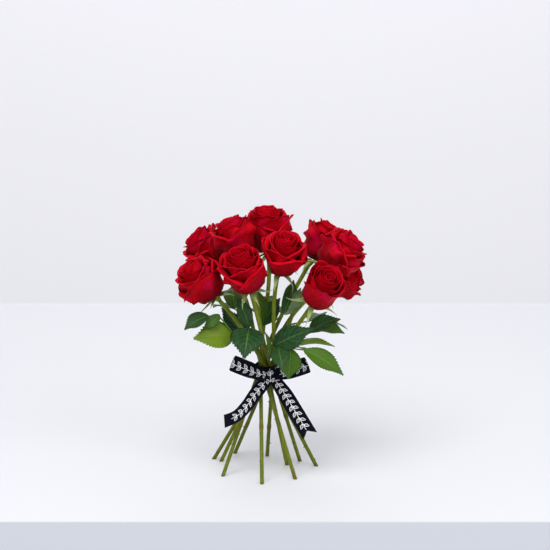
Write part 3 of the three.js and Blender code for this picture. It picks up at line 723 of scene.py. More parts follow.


# A cane's skin: yellower towards its bloom, streaked along its length, brown in patches and at its node, and
# dark brown at its cut end, partly a painted shadow where it stands on the table.
def caneLook():
    c = canePaint
    look = Look("caneGreen", IOR=1.24)
    thorn, node = look.attribute("thorn"), look.attribute("knob")
    height = look.split(look.place)[2]
    mottle = look.noise(look.place, c["mottleScale"], 4, 0.6, (1, 1, 0.35))
    streaks = look.noise(look.place, c["streakScale"], 3, 0.6, (1, 1, 0.05))
    patches = look.step(look.noise(look.place, c["patchScale"], 3, 0.6, (1, 1, 0.6)), 0.56, 0.72)
    green = look.mix(look.step(height, 0.12, 0.24), c["low"], c["high"])
    green = look.mix(look.step(mottle, 0.35, 0.75) * 0.6, green, c["mottle"])
    green = look.mix(look.step(streaks, 0.45, 0.75) * 0.5, green, c["darkStreak"])
    green = look.mix(look.step(streaks, 0.45, 0.25) * 0.4, green, c["paleStreak"])
    green = look.mix(node * 0.6 + patches * 0.45, green, c["patch"])
    # Painted shadow at the foot, partly the brown of the cut end: the lowest few millimetres turn dark brown.
    green = look.mix(look.step(height, 0.0045, 0.0005) * 0.85, green, c["cutEndAndShadow"])
    green = look.mix(thorn * 0.8, green, c["thorn"])
    bump = look.bump(look.noise(look.place, c["ridgeScale"], 2, 0.5, (1, 1, 0.12)), 0.0003, 0.5)
    return look.varies(Base_Color=green, Roughness=0.38 + 0.25 * mottle, Normal=bump)


def makeCanes(look):
    tree = caneGrower()
    scar, thorns, rings = canes["scar"], canes["thorns"], canes["rings"]
    below, hipRadii = zip(*canes["hipShape"])
    for number, rose in enumerate(roses, 1):
        foot, tie, neck, handles = caneLine(rose)
        rise, axis = unit(tie - foot), facing(rose["looks"])
        swell = scar["at"] + scar["spread"] * wobble(number, 0, 7)
        lower = np.linspace(0, 1, rings["straight"] + 1)[:-1]
        lower = np.sort(np.append(lower, [swell - scar["half"], swell + scar["half"]]))
        upper = np.linspace(0, canes["hipStart"], rings["curve"])
        hip = np.linspace(-canes["hipLength"], 0, rings["hip"])
        straight = foot + lower[:, None] * (tie - foot)
        points = np.concatenate([straight, bezier(handles, upper), neck + hip[:, None] * axis])
        knob = np.exp(-(((lower - swell) * np.linalg.norm(tie - foot) / canes["nodeSpread"]) ** 2))
        girth = np.concatenate([
            lerp(canes["foot"], canes["tie"], lower) + (canes["node"] - canes["foot"]) * knob,
            lerp(canes["tie"], canes["top"], upper),
            np.interp(hip, below, hipRadii),
        ])
        keep = np.append(True, np.linalg.norm(np.diff(points, axis=0), axis=1) > canes["closest"])
        rises = np.tile(rise, (len(points), 1))
        knobs = np.concatenate([knob, np.zeros(len(points) - len(knob))])
        facts = {"girth": girth[keep] / 1000, "rise": rises[keep], "knob": knobs[keep]}
        line = polyline(f"rose_{number:02d}_cane", points[keep], **facts)
        grown(line, tree, material=look, seed=number, density=thorns["density"], thornSize=thorns["size"])
        settle(line, "stem", f"rose_{number:02d}_stem")
    print("canes made:", len(roses))


sepals = {
    "count": 5,
    "length": 31,
    "width": 8,
    "thickness": 0.45,
    "root": 1.5,
    "drop": 1.2,
    "start": (-10, 12),  # degrees above level at its root, and how much that varies
    "end": (-34, 58),
    "curl": -60,
    "vary": {"length": 0.2, "heading": 12, "bend": 1.2},
    "cup": 0.25,
    "rootWidth": 0.62,
    "swell": 0.38,
    "swellRate": 1.5,
    "taper": 1.8,
    "least": 0.06,
    "curlFrom": 0.55,
    "bendFrom": 0.3,
    "barbShift": 0.08,
    "barbs": [(0.7, 0.5, 0.035), (0.5, 0.68, 0.03)],  # how far each stands out, where, and how long it is
    "rows": 26,
    "columns": 7,
}


# A sepal in its bloom's own place: a strip that narrows to a point, with two barbs and a curl.
def sepalGrid(rose, number, k):
    p, vary = sepals, sepals["vary"]
    w = [wobble(number, k, channel + 10) for channel in range(9)]
    length = p["length"] * (1 + vary["length"] * w[1])
    heading = math.radians(360 * k / p["count"] + rose["spin"] * 2 + vary["heading"] * w[2])
    s = np.linspace(0, 1, p["rows"])
    angle = lerp(p["start"][0] + p["start"][1] * w[3], p["end"][0] + p["end"][1] * w[4], s)
    angle = np.radians(angle + p["curl"] * w[5] * smooth(p["curlFrom"], 1, s))
    step = length / (len(s) - 1)
    out = p["root"] + np.append(0, np.cumsum(np.cos(angle) * step)[:-1])
    up = -p["drop"] + np.append(0, np.cumsum(np.sin(angle) * step)[:-1])
    swell = p["rootWidth"] + p["swell"] * np.sin(np.pi * np.minimum(1, s * p["swellRate"]))
    half = 0.5 * p["width"] * np.maximum(p["least"], swell * (1 - s ** p["taper"]))
    (farOut, place, size), (nextOut, nextPlace, nextSize) = p["barbs"]
    half += farOut * np.exp(-(((s - place - p["barbShift"] * w[6]) / size) ** 2))
    half += nextOut * np.exp(-(((s - nextPlace) / nextSize) ** 2))
    x = np.linspace(-1, 1, p["columns"])
    bend = vary["bend"] * w[7] * smooth(p["bendFrom"], 1, s)
    side = x[None, :] * half[:, None] + (bend * 2)[:, None]
    lift = p["cup"] * (x[None, :] ** 2) * half[:, None]
    radial = out[:, None] - np.sin(angle)[:, None] * lift
    tall = up[:, None] + np.cos(angle)[:, None] * lift
    grid = np.stack([radial * math.cos(heading) - side * math.sin(heading),
                     radial * math.sin(heading) + side * math.cos(heading), tall], -1)
    flat = np.stack(np.broadcast_arrays((x[None, :] + 1) / 2, s[:, None]), -1)
    return grid, flat, 0.5 + 0.5 * w[8]


def makeSepals(look):
    for number, rose in enumerate(roses, 1):
        turn = turnTo(facing(rose["looks"]))
        skin = Skin()
        for k in range(sepals["count"]):
            grid, flat, tone = sepalGrid(rose, number, k)
            grid = grid @ turn.T + np.array(rose["neck"])
            skin.blade(grid[:, ::-1], flat[:, ::-1], sepals["thickness"], tone=tone)
        settle(skin.piece(f"rose_{number:02d}_sepals", look), "sepal", f"rose_{number:02d}_stem")
    print("sepals made:", len(roses) * sepals["count"])


# Each leaf: its rose, the height where it grows, its stalk's bends, and its leaflets as base, tip, width,
# the way its upper face looks, and its tone from dark blue-green to yellow-green.
leaves = [
    (1, 166, [(-40, -26, 180), (-60, -31, 208), (-73, -34, 208)], [
        ((-72, -34, 208), (-103, -43, 192), 27, (0, -0.5, 1), 0.1),
        ((-59, -31, 209), (-79, -40, 192), 15, (0.3, -1, 0.5), 0.3),
        ((-42, -27, 180), (-92, -44, 181), 40, (0, -0.9, 0.75), 0.95)]),
    (2, 156, [(-24, 12, 170)], [
        ((-24, 12, 170), (-58, 20, 208), 26, (-0.5, -1, 0.3), -0.3),
        ((-24, 12, 170), (-64, 44, 178), 30, (0, 0.3, 1), 0.3)]),
    (2, 198, [(-42, 32, 203)], [
        ((-42, 32, 203), (-70, 66, 198), 29, (-0.2, 0.2, 1), 0.2),
        ((-42, 32, 203), (-46, 66, 226), 25, (0, -0.6, 1), 0.35)]),
    (3, 176, [(-5, 6, 188)], [
        ((-5, 6, 188), (-14, 8, 236), 20, (0.6, -1, 0), 0.55),
        ((-5, 6, 188), (17, 11, 222), 24, (-0.2, -1, 0.5), 0.15)]),
    (4, 186, [(-10, 38, 196)], [
        ((-10, 38, 196), (-22, 84, 190), 32, (-0.1, 0.3, 1), 0.1),
        ((-10, 38, 196), (10, 66, 214), 27, (0, -0.3, 1), 0.4)]),
    (5, 160, [(-14, -31, 179), (-22, -30, 192)], [
        ((-22, -30, 192), (-28, -69, 161), 42, (0, -1, 0.7), 0.05),
        ((-22, -30, 192), (-38, -23, 230), 20, (0.4, -1, 0.3), 0.1)]),
    (5, 147, [(2, -20, 152)], [
        ((2, -20, 152), (-3, -29, 187), 12, (1, -0.5, 0.1), 0.45)]),
    (6, 150, [(9, -26, 168), (28, -44, 169), (46, -50, 168)], [
        ((14, -34, 168), (20, -63, 143), 24, (0.1, -1, 0.5), 0.1),
        ((30, -41, 168), (27, -42, 129), 28, (0.2, -1, 0.2), 0.4),
        ((46, -50, 168), (96, -57, 137), 26, (0.2, -1, 1), 0.45),
        ((9, -26, 168), (58, -50, 196), 31, (-0.2, -1, 0.3), 0.0)]),
    (6, 196, [(20, -20, 207)], [
        ((20, -20, 207), (43, -14, 240), 22, (0.6, 1, -0.2), 0.3),
        ((20, -20, 207), (34, 8, 246), 22, (0.5, -0.6, 0.4), 0.15)]),
    (7, 188, [(20, 38, 196)], [
        ((20, 38, 196), (32, 84, 190), 32, (0.1, 0.3, 1), 0.2),
        ((20, 38, 196), (50, 62, 210), 27, (0.2, -0.3, 1), 0.1)]),
    (8, 184, [(50, -12, 180), (66, -15, 186)], [
        ((54, -13, 182), (94, 4, 196), 30, (-0.1, -0.5, 1), 0.1),
        ((66, -15, 186), (98, -28, 184), 22, (0, -0.4, 1), 0.3)]),
    (9, 186, [(56, 30, 188)], [
        ((56, 30, 188), (104, 44, 174), 33, (0, 0, 1), 0.2),
        ((56, 30, 188), (72, 68, 188), 29, (0, 0.2, 1), 0.5)]),
    (10, 150, [(30, -16, 164)], [
        ((30, -16, 164), (86, -22, 166), 26, (0, -0.1, 1), 0.95),
        ((30, -16, 164), (52, 8, 150), 24, (0.2, 0, 1), 0.4)]),
]

leafCut = {
    "thickness": 0.5,
    "arch": 0.36,
    "fold": 0.22,
    "fullness": (0.85, 0.8),  # powers that set where the widest part lies and how round the outline is
    "point": 0.5,  # how much narrower the last part is, up to the tip
    "pointFrom": 0.55,
    "firstRows": (0, 0.03),
    "lastRows": (0.975, 1),
    "teeth": 15,  # on each side
    "firstTooth": 0.07,
    "toothed": 0.9,
    # A tooth's points: where each is along it, how far out its edge stands and how far ahead, as shares.
    "tooth": [(0, -1, -0.1), (0.4, -0.2, 0.1), (0.8, 0.75, 0.75), (0.93, 0.35, 0.3)],
    "bite": 0.045,
    "edgePower": 5,
    "columns": 17,
    "veins": 7,
    "veinSlant": 0.34,
    "veinShift": 0.2,
    "quilt": 0.35,
    "wave": 0.7,
    "fadeBelow": 8,  # the half width under which the quilting and the waves fade
    "stalk": {"radii": (1.25, 0.8), "sides": 8, "steps": 8, "easings": 3, "tone": 0.6},
}


# A leaflet's middle surface and its flat map. Its rows follow its teeth.
def leafGrid(base, tip, width, up, seed):
    c = leafCut
    base, tip = np.array(base, float), np.array(tip, float)
    along, length = unit(tip - base), np.linalg.norm(tip - base)
    normal = unit(np.array(up, float) - np.dot(up, along) * along)
    side = np.cross(along, normal)
    pitch = c["toothed"] / c["teeth"]
    starts = c["firstTooth"] + c["toothed"] * np.arange(c["teeth"]) / c["teeth"]
    places, outs, aheads = zip(*c["tooth"])
    toothed = (starts[:, None] + np.array(places) * pitch).ravel()
    rows = np.concatenate([c["firstRows"], toothed, c["lastRows"]])
    share = np.concatenate([[0, 0], outs * c["teeth"], [0, 0]])
    ahead = np.concatenate([[0, 0], aheads * c["teeth"], [0, 0]]) * pitch
    u = np.linspace(-1, 1, c["columns"])
    edge = np.abs(u) ** c["edgePower"]
    s = rows[:, None] + ahead[:, None] * edge
    back, roundness = c["fullness"]
    half = 0.5 * width * np.sin(np.pi * np.clip(rows, 0.0006, 0.9994) ** back) ** roundness
    half = half * (1 - c["point"] * smooth(c["pointFrom"], 1, rows))
    x = u * half[:, None] * (1 + c["bite"] * share[:, None] * edge)
    vein = c["veins"] * (s - c["veinSlant"] * np.abs(u)) + c["veinShift"]
    narrow = np.minimum(1, half[:, None] / c["fadeBelow"])
    quilt = c["quilt"] * np.abs(np.sin(np.pi * vein)) * np.sin(np.pi * np.abs(u)) * narrow
    wave = c["wave"] * np.sin(9 * s + 4 * u + seed) * np.abs(u) ** 2 * narrow
    lift = length * c["arch"] * s * (1 - s) + c["fold"] * np.abs(x) + quilt + wave
    grid = base + s[..., None] * length * along + x[..., None] * side + lift[..., None] * normal
    return grid, np.stack([(u + 1) / 2 + 0 * s, s], -1)


# The rings of a thin round stalk through points.
def stalkRings(points, radii, sides):
    tangent = unit(np.gradient(points, axis=0))
    first = unit(np.cross(tangent, (0.31, 0.2, 0.93)))
    second = np.cross(tangent, first)
    angle = 2 * np.pi * np.arange(sides) / sides
    swing = first[:, None] * np.cos(angle)[None, :, None] + second[:, None] * np.sin(angle)[None, :, None]
    return points[:, None] + radii[:, None, None] * swing


def makeLeaves(look):
    c, stalk = leafCut, leafCut["stalk"]
    for number, rose in enumerate(roses, 1):
        skin = Skin()
        for _, height, route, leaflets in [leaf for leaf in leaves if leaf[0] == number]:
            knots = np.array([canePoint(rose, height), *route], float)
            at = np.linspace(0, len(knots) - 1, stalk["steps"] * (len(knots) - 1) + 1)
            points = np.stack([np.interp(at, range(len(knots)), knots[:, i]) for i in range(3)], -1)
            for _ in range(stalk["easings"]):
                soften(points)
            radii = np.linspace(*stalk["radii"], len(points))
            skin.bar(stalkRings(points, radii, stalk["sides"]), stalk["tone"])
            for i, (base, tip, width, up, tone) in enumerate(leaflets):
                grid, flat = leafGrid(base, tip, width, up, 3 * number + 2 * i)
                skin.blade(grid, flat, c["thickness"], tone=tone)
        if skin.points:
            settle(skin.piece(f"rose_{number:02d}_leaves", look), "leaf", f"rose_{number:02d}_stem")
    print("leaves made:", sum(len(leaf[3]) for leaf in leaves), "leaflets")


leafPaint = {
    "dark": ((0.006, 0.038, 0.011), (0.017, 0.070, 0.018)),  # pairs are two shades of one mottle
    "mid": (0.055, 0.135, 0.006),
    "young": (0.14, 0.22, 0.012),
    "blue": (0.004, 0.022, 0.012),
    "veins": (0.19, 0.32, 0.09),
    "net": (0.16, 0.28, 0.08),
    "back": ((0.12, 0.20, 0.085), (0.20, 0.29, 0.14)),
    "youngBack": (0.22, 0.33, 0.06),
    "backVeins": (0.30, 0.40, 0.18),
    "edge": (0.16, 0.10, 0.03),
    "roughness": (0.36, 0.7),  # above and below
    "mottleScale": 120,
    "netScale": 640,
}


# A leaf: satin blue-green above, matt grey-green below, with pale veins that branch from the midrib.
def leafLook():
    c = leafPaint
    look = Look("roseLeaf", IOR=1.25)
    across, along, _ = look.split(look.flat())
    under, tone = look.attribute("under"), look.attribute("tone")
    side = abs(across * 2 - 1)
    mottle = look.noise(look.place, c["mottleScale"], 4, 0.6)
    place = (along - side * leafCut["veinSlant"]) * leafCut["veins"] + leafCut["veinShift"]
    gapTo = abs(look.maths("PINGPONG", place, 0.5))
    vein = look.step(gapTo, 0.085, 0.02) * look.step(side, 0.98, 0.8)
    midrib = look.step(side, 0.07, 0.03)
    lines = look.maths("MAXIMUM", vein * 0.6, midrib)
    cells = {"Vector": look.place, "Scale": c["netScale"]}
    net = look.step(look.node("ShaderNodeTexVoronoi", {"feature": "DISTANCE_TO_EDGE"}, cells), 0.12, 0.02)
    top = look.mix(look.step(mottle, 0.3, 0.75), *c["dark"])
    top = look.mix(look.step(tone, 0.0, 0.5), top, c["mid"])
    top = look.mix(look.step(tone, 0.5, 1.0), top, c["young"])
    top = look.mix(look.step(tone, 0.0, -0.3) * 0.7, top, c["blue"])
    top = look.mix(lines * 0.34, top, c["veins"])
    top = look.mix(net * 0.06, top, c["net"])
    back = look.mix(look.step(mottle, 0.3, 0.8), *c["back"])
    back = look.mix(look.step(tone, 0.3, 1.0) * 0.7, back, c["youngBack"])
    back = look.mix(lines * 0.6, back, c["backVeins"])
    colour = look.mix(under, top, back)
    colour = look.mix(look.step(side, 0.965, 1.0) * 0.25, colour, c["edge"])
    above, below = c["roughness"]
    rough = above + (below - above) * under + 0.12 * mottle
    height = net * 0.12 - lines * 0.8 + mottle * 0.3
    return look.varies(Base_Color=colour, Roughness=rough, Normal=look.bump(height, 0.0004, 0.55))


sepalPaint = {
    "root": (0.30, 0.42, 0.11),
    "tip": (0.42, 0.52, 0.22),
    "back": (0.46, 0.55, 0.32),
    "mottle": (0.09, 0.15, 0.03),
    "mottleScale": 200,
}


def sepalLook():
    c = sepalPaint
    look = Look("sepalGreen", IOR=1.3)
    across, along, _ = look.split(look.flat())
    mottle = look.noise(look.place, c["mottleScale"], 3)
    colour = look.mix(look.step(along, 0.1, 0.9), c["root"], c["tip"])
    colour = look.mix(look.attribute("under") * 0.5, colour, c["back"])
    colour = look.mix(look.step(mottle, 0.5, 0.8) * 0.4, colour, c["mottle"])
    bump = look.bump(look.maths("PINGPONG", across * 3, 0.5) + mottle, 0.0003, 0.5)
    return look.varies(Base_Color=colour, Roughness=0.5 + 0.2 * mottle, Normal=bump)


stemRoom = 2.5 * 1.13  # a cane's radius at the tie, with room for its slant


# The point of a belt drawn round the canes at a height, on the side that looks along an angle.
def beltPoint(height, angle, off):
    out = np.array([math.cos(angle), math.sin(angle), 0])
    centres = beltCentres(round(float(height), 2))
    return centres[int(np.argmax(centres @ out))] + out * (stemRoom + off)


beltRows = {}


# Where the canes pass a height. Each height is worked out once.
def beltCentres(height):
    if height not in beltRows:
        rows = []
        for rose in roses:
            foot, tie, _, _ = caneLine(rose)
            straight = foot + (tie - foot) * height / tieHeight
            rows.append(straight if height <= tieHeight else canePoint(rose, height))
        beltRows[height] = np.array(rows)
    return beltRows[height]


# Points at even steps along a line.
def evenly(points, count):
    along = np.append(0, np.cumsum(np.linalg.norm(np.diff(points, axis=0), axis=1)))
    at = np.linspace(0, along[-1], count)
    return np.stack([np.interp(at, along, points[:, i]) for i in range(3)], -1)


twine = {
    "turns": 3,
    "pitch": 2.5,
    "strands": 3,
    "strand": 0.47,  # radius
    "twist": 0.46,
    "lay": 5.5,
    "off": 1.38,  # from the canes to the middle of the twine
    "start": -1.5,  # radians
    "short": 0.4,
    "samples": 300,
    "points": 420,
    "easings": 6,
}


# Strands that wind round a line: each is a thin round cord on its own spiral.
def twineGrower():
    tree = Grower("layStrands", material="material", strand=float, twist=float, lay=float)
    line = tree.geo("MeshToCurve", None, {"Mesh": tree.start})
    length = tree.geo("SplineParameter", None, None, 1)
    normal = tree.geo("InputNormal")
    second = tree.vectors("CROSS_PRODUCT", tree.geo("InputTangent"), normal)
    profile = tree.geo("CurvePrimitiveCircle", None, {"Resolution": 7, "Radius": tree.size["strand"]})
    strands = []
    for i in range(twine["strands"]):
        angle = length / tree.size["lay"] * (2 * math.pi) + 2 * math.pi * i / twine["strands"]
        out = tree.vectors("SCALE", normal, scale=tree.maths("COSINE", angle) * tree.size["twist"])
        over = tree.vectors("SCALE", second, scale=tree.maths("SINE", angle) * tree.size["twist"])
        moved = tree.geo("SetPosition", None, {"Geometry": line, "Offset": tree.vectors("ADD", out, over)})
        sweep = {"Curve": moved, "Profile Curve": profile, "Fill Caps": True}
        strands.append(tree.geo("CurveToMesh", None, sweep))
    return tree.finished(tree.geo("SetShadeSmooth", None, {"Geometry": tree.joined(*strands)}))


twinePaint = {"dark": (0.14, 0.085, 0.035), "pale": (0.42, 0.29, 0.14), "fibreScale": 900}


def twineLook():
    c = twinePaint
    look = Look("jute", Sheen_Weight=0.2)
    fibre = look.noise(look.place, c["fibreScale"], 4, 0.7, (1, 1, 0.3))
    colour = look.mix(fibre, c["dark"], c["pale"])
    return look.varies(Base_Color=colour, Roughness=0.8 + 0.15 * fibre, Normal=look.bump(fibre, 0.0002, 0.8))


def makeTwine(look):
    t = twine
    low = tieHeight - t["turns"] * t["pitch"] / 2 + t["pitch"] / 2
    angles = np.linspace(t["start"], 2 * math.pi * t["turns"] + t["start"] - t["short"], t["samples"])
    heights = low + (t["turns"] - 1) * t["pitch"] * np.linspace(0, 1, t["samples"])
    route = evenly(np.array([beltPoint(h, a, t["off"]) for h, a in zip(heights, angles)]), t["points"])
    for _ in range(t["easings"]):
        soften(route)
    line = polyline("binding_twine_coil", route)
    sizes = {key: t[key] / 1000 for key in ("strand", "twist", "lay")}
    grown(line, twineGrower(), material=look, **sizes)
    settle(line, "twine", "binding_twine")
    print("twine laid:", len(line.data.polygons), "faces")


ribbon = {
    "width": 20,
    "thickness": 0.34,
    "columns": 15,
    "spacing": 1.2,
    "samples": 240,
    "band": {"height": 129, "half": 9.5, "off": 3.35, "crease": 0.3, "creaseStep": 1.3, "levels": 17,
             "samples": 361, "points": 91, "easings": 3},
    "knot": {"centre": (4.5, -19.5, 127), "across": 16.5, "tall": 9.6, "deep": 4.4, "end": 0.75,
             "endPower": 2.5, "pleats": 5, "pleat": 0.32, "sway": 0.8, "points": 73, "columns": 25},
    "pleat": {"depth": 0.55, "fade": 13, "count": 2.5},
    "wave": {"depth": 0.25, "length": 7},
    "camber": 0.7,
    # The loops and tails as the middle of the ribbon, the way its width lies, and how wide it is there.
    "loops": {
        "left": [((1, -22, 128), (0.1, 0, 1), 13), ((-21, -28, 136), (0.3, 0, 1), 19),
                 ((-43, -27, 145), (0.42, 0, 1), 20), ((-43, -22, 145), (0.42, 0, 1), 20),
                 ((-21, -20, 136), (0.3, 0, 1), 19), ((1, -19, 128), (0.1, 0, 1), 13)],
        "right": [((8, -19, 128), (-0.1, 0, 1), 13), ((29, -20, 135), (-0.3, 0, 1), 19),
                  ((51, -23, 143), (-0.42, 0, 1), 20), ((51, -28, 143), (-0.42, 0, 1), 20),
                  ((29, -28, 135), (-0.3, 0, 1), 19), ((8, -22, 128), (-0.1, 0, 1), 13)],
    },
    "tails": {
        "left": [((2, -21, 125), (0.9, 0, -0.5), 14), ((-15, -31, 106), (0.62, -0.6, -0.5), 19),
                 ((-26, -38, 92), (0.46, -0.76, -0.45), 20), ((-38, -43, 81), (0.4, -0.8, -0.45), 20),
                 ((-57, -44, 73), (0.4, -0.74, -0.54), 20)],
        "right": [((8, -21, 126), (0.9, 0, 0.45), 14), ((23, -34, 107), (0.86, 0, 0.51), 19),
                  ((38, -45, 84), (0.86, 0.1, 0.51), 20), ((55, -52, 57), (0.86, -0.08, 0.51), 20)],
    },
    "ends": {"left": (7, 0), "right": (0, 8)},  # how far the end is cut back: slanted, and as a notch
}
halfFlat = 0.1  # half the ribbon's width in tenths of a metre, the unit of its flat map


# A smooth line through points of uneven spacing.
def threaded(points, t):
    points = np.array(points, float)
    padded = np.concatenate([[2 * points[0] - points[1]], points, [2 * points[-1] - points[-2]]])
    made = []
    for place in np.asarray(t) * (len(points) - 1):
        i = min(int(place), len(points) - 2)
        s = place - i
        a, b, c, d = padded[i:i + 4]
        first, mid, last = (max(1e-4, np.linalg.norm(q - p)) ** 0.5 for p, q in ((a, b), (b, c), (c, d)))
        start = ((b - a) / first - (c - a) / (first + mid) + (c - b) / mid) * mid
        end = ((c - b) / mid - (d - b) / (mid + last) + (d - c) / last) * mid
        squared, cubed = 3 * (c - b) - 2 * start - end, 2 * (b - c) + start + end
        made.append(b + start * s + squared * s**2 + cubed * s**3)
    return np.array(made)


# The flat map, from a place across the ribbon, -1 to 1, and the millimetres along it.
def flatMap(u, along):
    return np.stack(np.broadcast_arrays((u + 1) * halfFlat, along / 100), -1)


# A strip of ribbon along a route, gathered where it narrows at the knot, and cut back at its far end.
def stripGrid(route, cut=(0, 0), bothEnds=True):
    places, across, widths = zip(*route)
    pleat, ripple = ribbon["pleat"], ribbon["wave"]
    fine = np.linspace(0, 1, ribbon["samples"])
    middle = threaded(places, fine)
    along = np.append(0, np.cumsum(np.linalg.norm(np.diff(middle, axis=0), axis=1)))
    rows = int(along[-1] / ribbon["spacing"]) + 1
    u = np.linspace(-1, 1, ribbon["columns"])
    back = cut[0] * (1 - u) / 2 + cut[1] * (1 - np.abs(u))
    reach = np.linspace(0, 1, rows)[:, None] * (along[-1] - back[None, :])
    t = np.interp(reach, along, fine)
    knots = np.linspace(0, 1, len(route))
    centre = np.stack([np.interp(t, fine, middle[:, i]) for i in range(3)], -1)
    way = unit(np.stack([np.interp(t, knots, [a[i] for a in across]) for i in range(3)], -1))
    width = np.interp(t, knots, widths)
    tangent = unit(np.stack([np.interp(t, fine, np.gradient(middle[:, i])) for i in range(3)], -1))
    normal = unit(np.cross(way, tangent))
    nearKnot = np.exp(-reach / pleat["fade"])
    if bothEnds:
        nearKnot = nearKnot + np.exp(-(along[-1] - reach) / pleat["fade"])
    lift = pleat["depth"] * nearKnot * np.cos(math.pi * pleat["count"] * u)
    lift = lift + ribbon["camber"] * (1 - u * u) * (1 - nearKnot)
    lift = lift + ripple["depth"] * np.sin(reach / ripple["length"] + 2 * u)
    grid = centre + way * (u * width / 2)[..., None] + normal * lift[..., None]
    return grid, flatMap(u, reach), along[-1]


# The knot: a pleated sleeve of ribbon, narrower at its ends.
def knotGrid():
    k = ribbon["knot"]
    angle = np.linspace(0, 2 * math.pi, k["points"])[:, None]
    u = np.linspace(-1, 1, k["columns"])
    narrow = 1 - (1 - k["end"]) * np.abs(u) ** k["endPower"]
    pleat = k["pleat"] * np.sin(math.pi * k["pleats"] * u + k["sway"] * np.sin(2 * angle))
    deep, tall = k["deep"] * narrow + pleat, k["tall"] * narrow + pleat
    x = k["centre"][0] + u * k["across"] / 2 + 0.5 * np.sin(3 * angle) * (1 - u * u)
    y = k["centre"][1] + deep * np.sin(angle)
    z = k["centre"][2] + tall * np.cos(angle)
    around = 2 * math.pi * math.sqrt((k["deep"] ** 2 + k["tall"] ** 2) / 2)
    return np.stack(np.broadcast_arrays(x, y, z), -1), flatMap(u, angle / (2 * math.pi) * around), around


# The band: a belt round the canes and the twine, drawn at each of its levels and smoothed along its length.
def bandGrid():
    b = ribbon["band"]
    u = np.linspace(-1, 1, b["levels"])
    angles = np.linspace(-math.pi / 2, 1.5 * math.pi, b["samples"])
    rings = []
    for i, level in enumerate(b["height"] + b["half"] * u):
        off = b["off"] + b["crease"] * math.sin(i * b["creaseStep"])
        rings.append(evenly(np.array([beltPoint(level, a, off) for a in angles]), b["points"]))
    grid = np.stack(rings, 1)
    for _ in range(b["easings"]):
        soften(grid)
    length = float(np.linalg.norm(np.diff(grid[:, len(u) // 2], axis=0), axis=1).sum())
    flat = flatMap(u, np.linspace(0, length, len(grid))[:, None])
    return grid[:, ::-1], flat[:, ::-1], length


# A sprig of the ribbon's print: a piece of vine and two leaves drawn as outlines.
sprig = {
    "pitch": 8.8,
    "leaf": 7.4,
    "outline": (0, 0.06, 0.14, 0.24, 0.36, 0.48, 0.6, 0.72, 0.83, 0.93, 1),
    "fat": 2.0,
    "fatPower": 0.85,
    "root": (0.5, 0.9, 0.7),  # out from the vine, along it, and how far its two leaves are apart
    "boldEnds": 1.6,  # the line is bolder at a leaf's two ends
    "line": 0.72,
    "lean": 48,
    "thick": 0.14,
    "vine": 0.33,
    "sway": 0.35,
    "vinePoints": 7,
    "rib": (0.12, 0.4, 0.68),
    "ribLine": 0.24,
    "start": 1,
    "endRoom": 1.5,
    "sunk": 0.02,
}


# Adds a raised line between two edges to lists of points and faces, closed into a ring or capped at its ends.
def raiseLine(points, faces, outer, inner, closed):
    count, start, top = len(outer), len(points), sprig["thick"]
    for ring, z in ((outer, top), (inner, top), (inner, 0), (outer, 0)):
        points.extend([x, y, z] for x, y in ring)
    for i in range(count if closed else count - 1):
        j = (i + 1) % count
        for a in range(4):
            b = (a + 1) % 4
            faces.append([start + row * count + place for row, place in ((a, j), (b, j), (b, i), (a, i))])
    if not closed:
        faces.append([start + a * count for a in range(4)])
        faces.append([start + a * count + count - 1 for a in (3, 2, 1, 0)])


def sprigMesh():
    p = sprig
    points, faces = [], []
    s = np.array(p["outline"])
    wide = p["fat"] * np.sin(np.pi * s ** p["fatPower"])
    lean = math.radians(p["lean"])
    out, up, apart = p["root"]
    for sign in (-1, 1):
        way = np.array([math.sin(lean) * sign, math.cos(lean)])
        side = np.array([-way[1], way[0]]) * -sign
        root = np.array([out * sign, up + apart * sign])
        right = [root + way * p["leaf"] * a + side * b for a, b in zip(s, wide)]
        left = [root + way * p["leaf"] * a - side * b for a, b in zip(s, wide)][-2:0:-1]
        outer = np.array(right + left)
        inward = unit(root + way * p["leaf"] * 0.5 - outer)
        share = np.ones((len(outer), 1))
        share[[0, len(s) - 1]] = p["boldEnds"]
        inner = outer + inward * share * p["line"]
        raiseLine(points, faces, outer[::sign], inner[::sign], closed=True)
        rib = np.array([root + way * p["leaf"] * a for a in p["rib"]])
        thin = side * p["line"] * p["ribLine"] * sign
        raiseLine(points, faces, rib - thin, rib + thin, closed=False)
    y = np.linspace(0, p["pitch"], p["vinePoints"])
    vine = np.stack([p["sway"] * np.sin(2 * math.pi * y / p["pitch"]), y], -1)
    half = np.array([p["vine"], 0])
    raiseLine(points, faces, vine + half, vine - half, closed=False)
    return meshPiece("sprig", points, faces, place=False)


# Repeats a flat sprig along a sheet's flat map and lays each copy on the sheet's face.
def printGrower():
    sizes = {"count": int, "pitch": float, "start": float, "lift": float}
    tree = Grower("printSprigs", material="material", sprig="object", **sizes)
    first = tree.node("ShaderNodeCombineXYZ", None, {1: tree.size["start"]})
    step = tree.node("ShaderNodeCombineXYZ", None, {1: tree.size["pitch"]})
    line = tree.geo("MeshLine", None, {"Count": tree.size["count"], "Start Location": first, "Offset": step})
    motif = tree.geo("ObjectInfo", None, {"Object": tree.size["sprig"]}, 4)
    copies = tree.geo("InstanceOnPoints", None, {"Points": line, "Instance": motif})
    copies = tree.geo("RealizeInstances", None, {"Geometry": copies})
    place = tree.geo("InputPosition")
    across, along, tall = tree.split(place)
    spot = tree.node("ShaderNodeCombineXYZ", None, {0: across * 10 + halfFlat, 1: along * 10})
    spots = {"Mesh": tree.start, "UV Map": tree.named("flat", "FLOAT_VECTOR"), "Sample UV": spot}

    def sampled(value):
        return tree.geo("SampleUVSurface", {"data_type": "FLOAT_VECTOR"}, {**spots, "Value": value})

    surface, outward = sampled(place), sampled(tree.geo("InputNormal"))
    off = tree.vectors("SCALE", outward, scale=tall + tree.size["lift"])
    laid = tree.geo("SetPosition", None, {"Geometry": copies, "Position": tree.vectors("ADD", surface, off)})
    return tree.finished(laid)


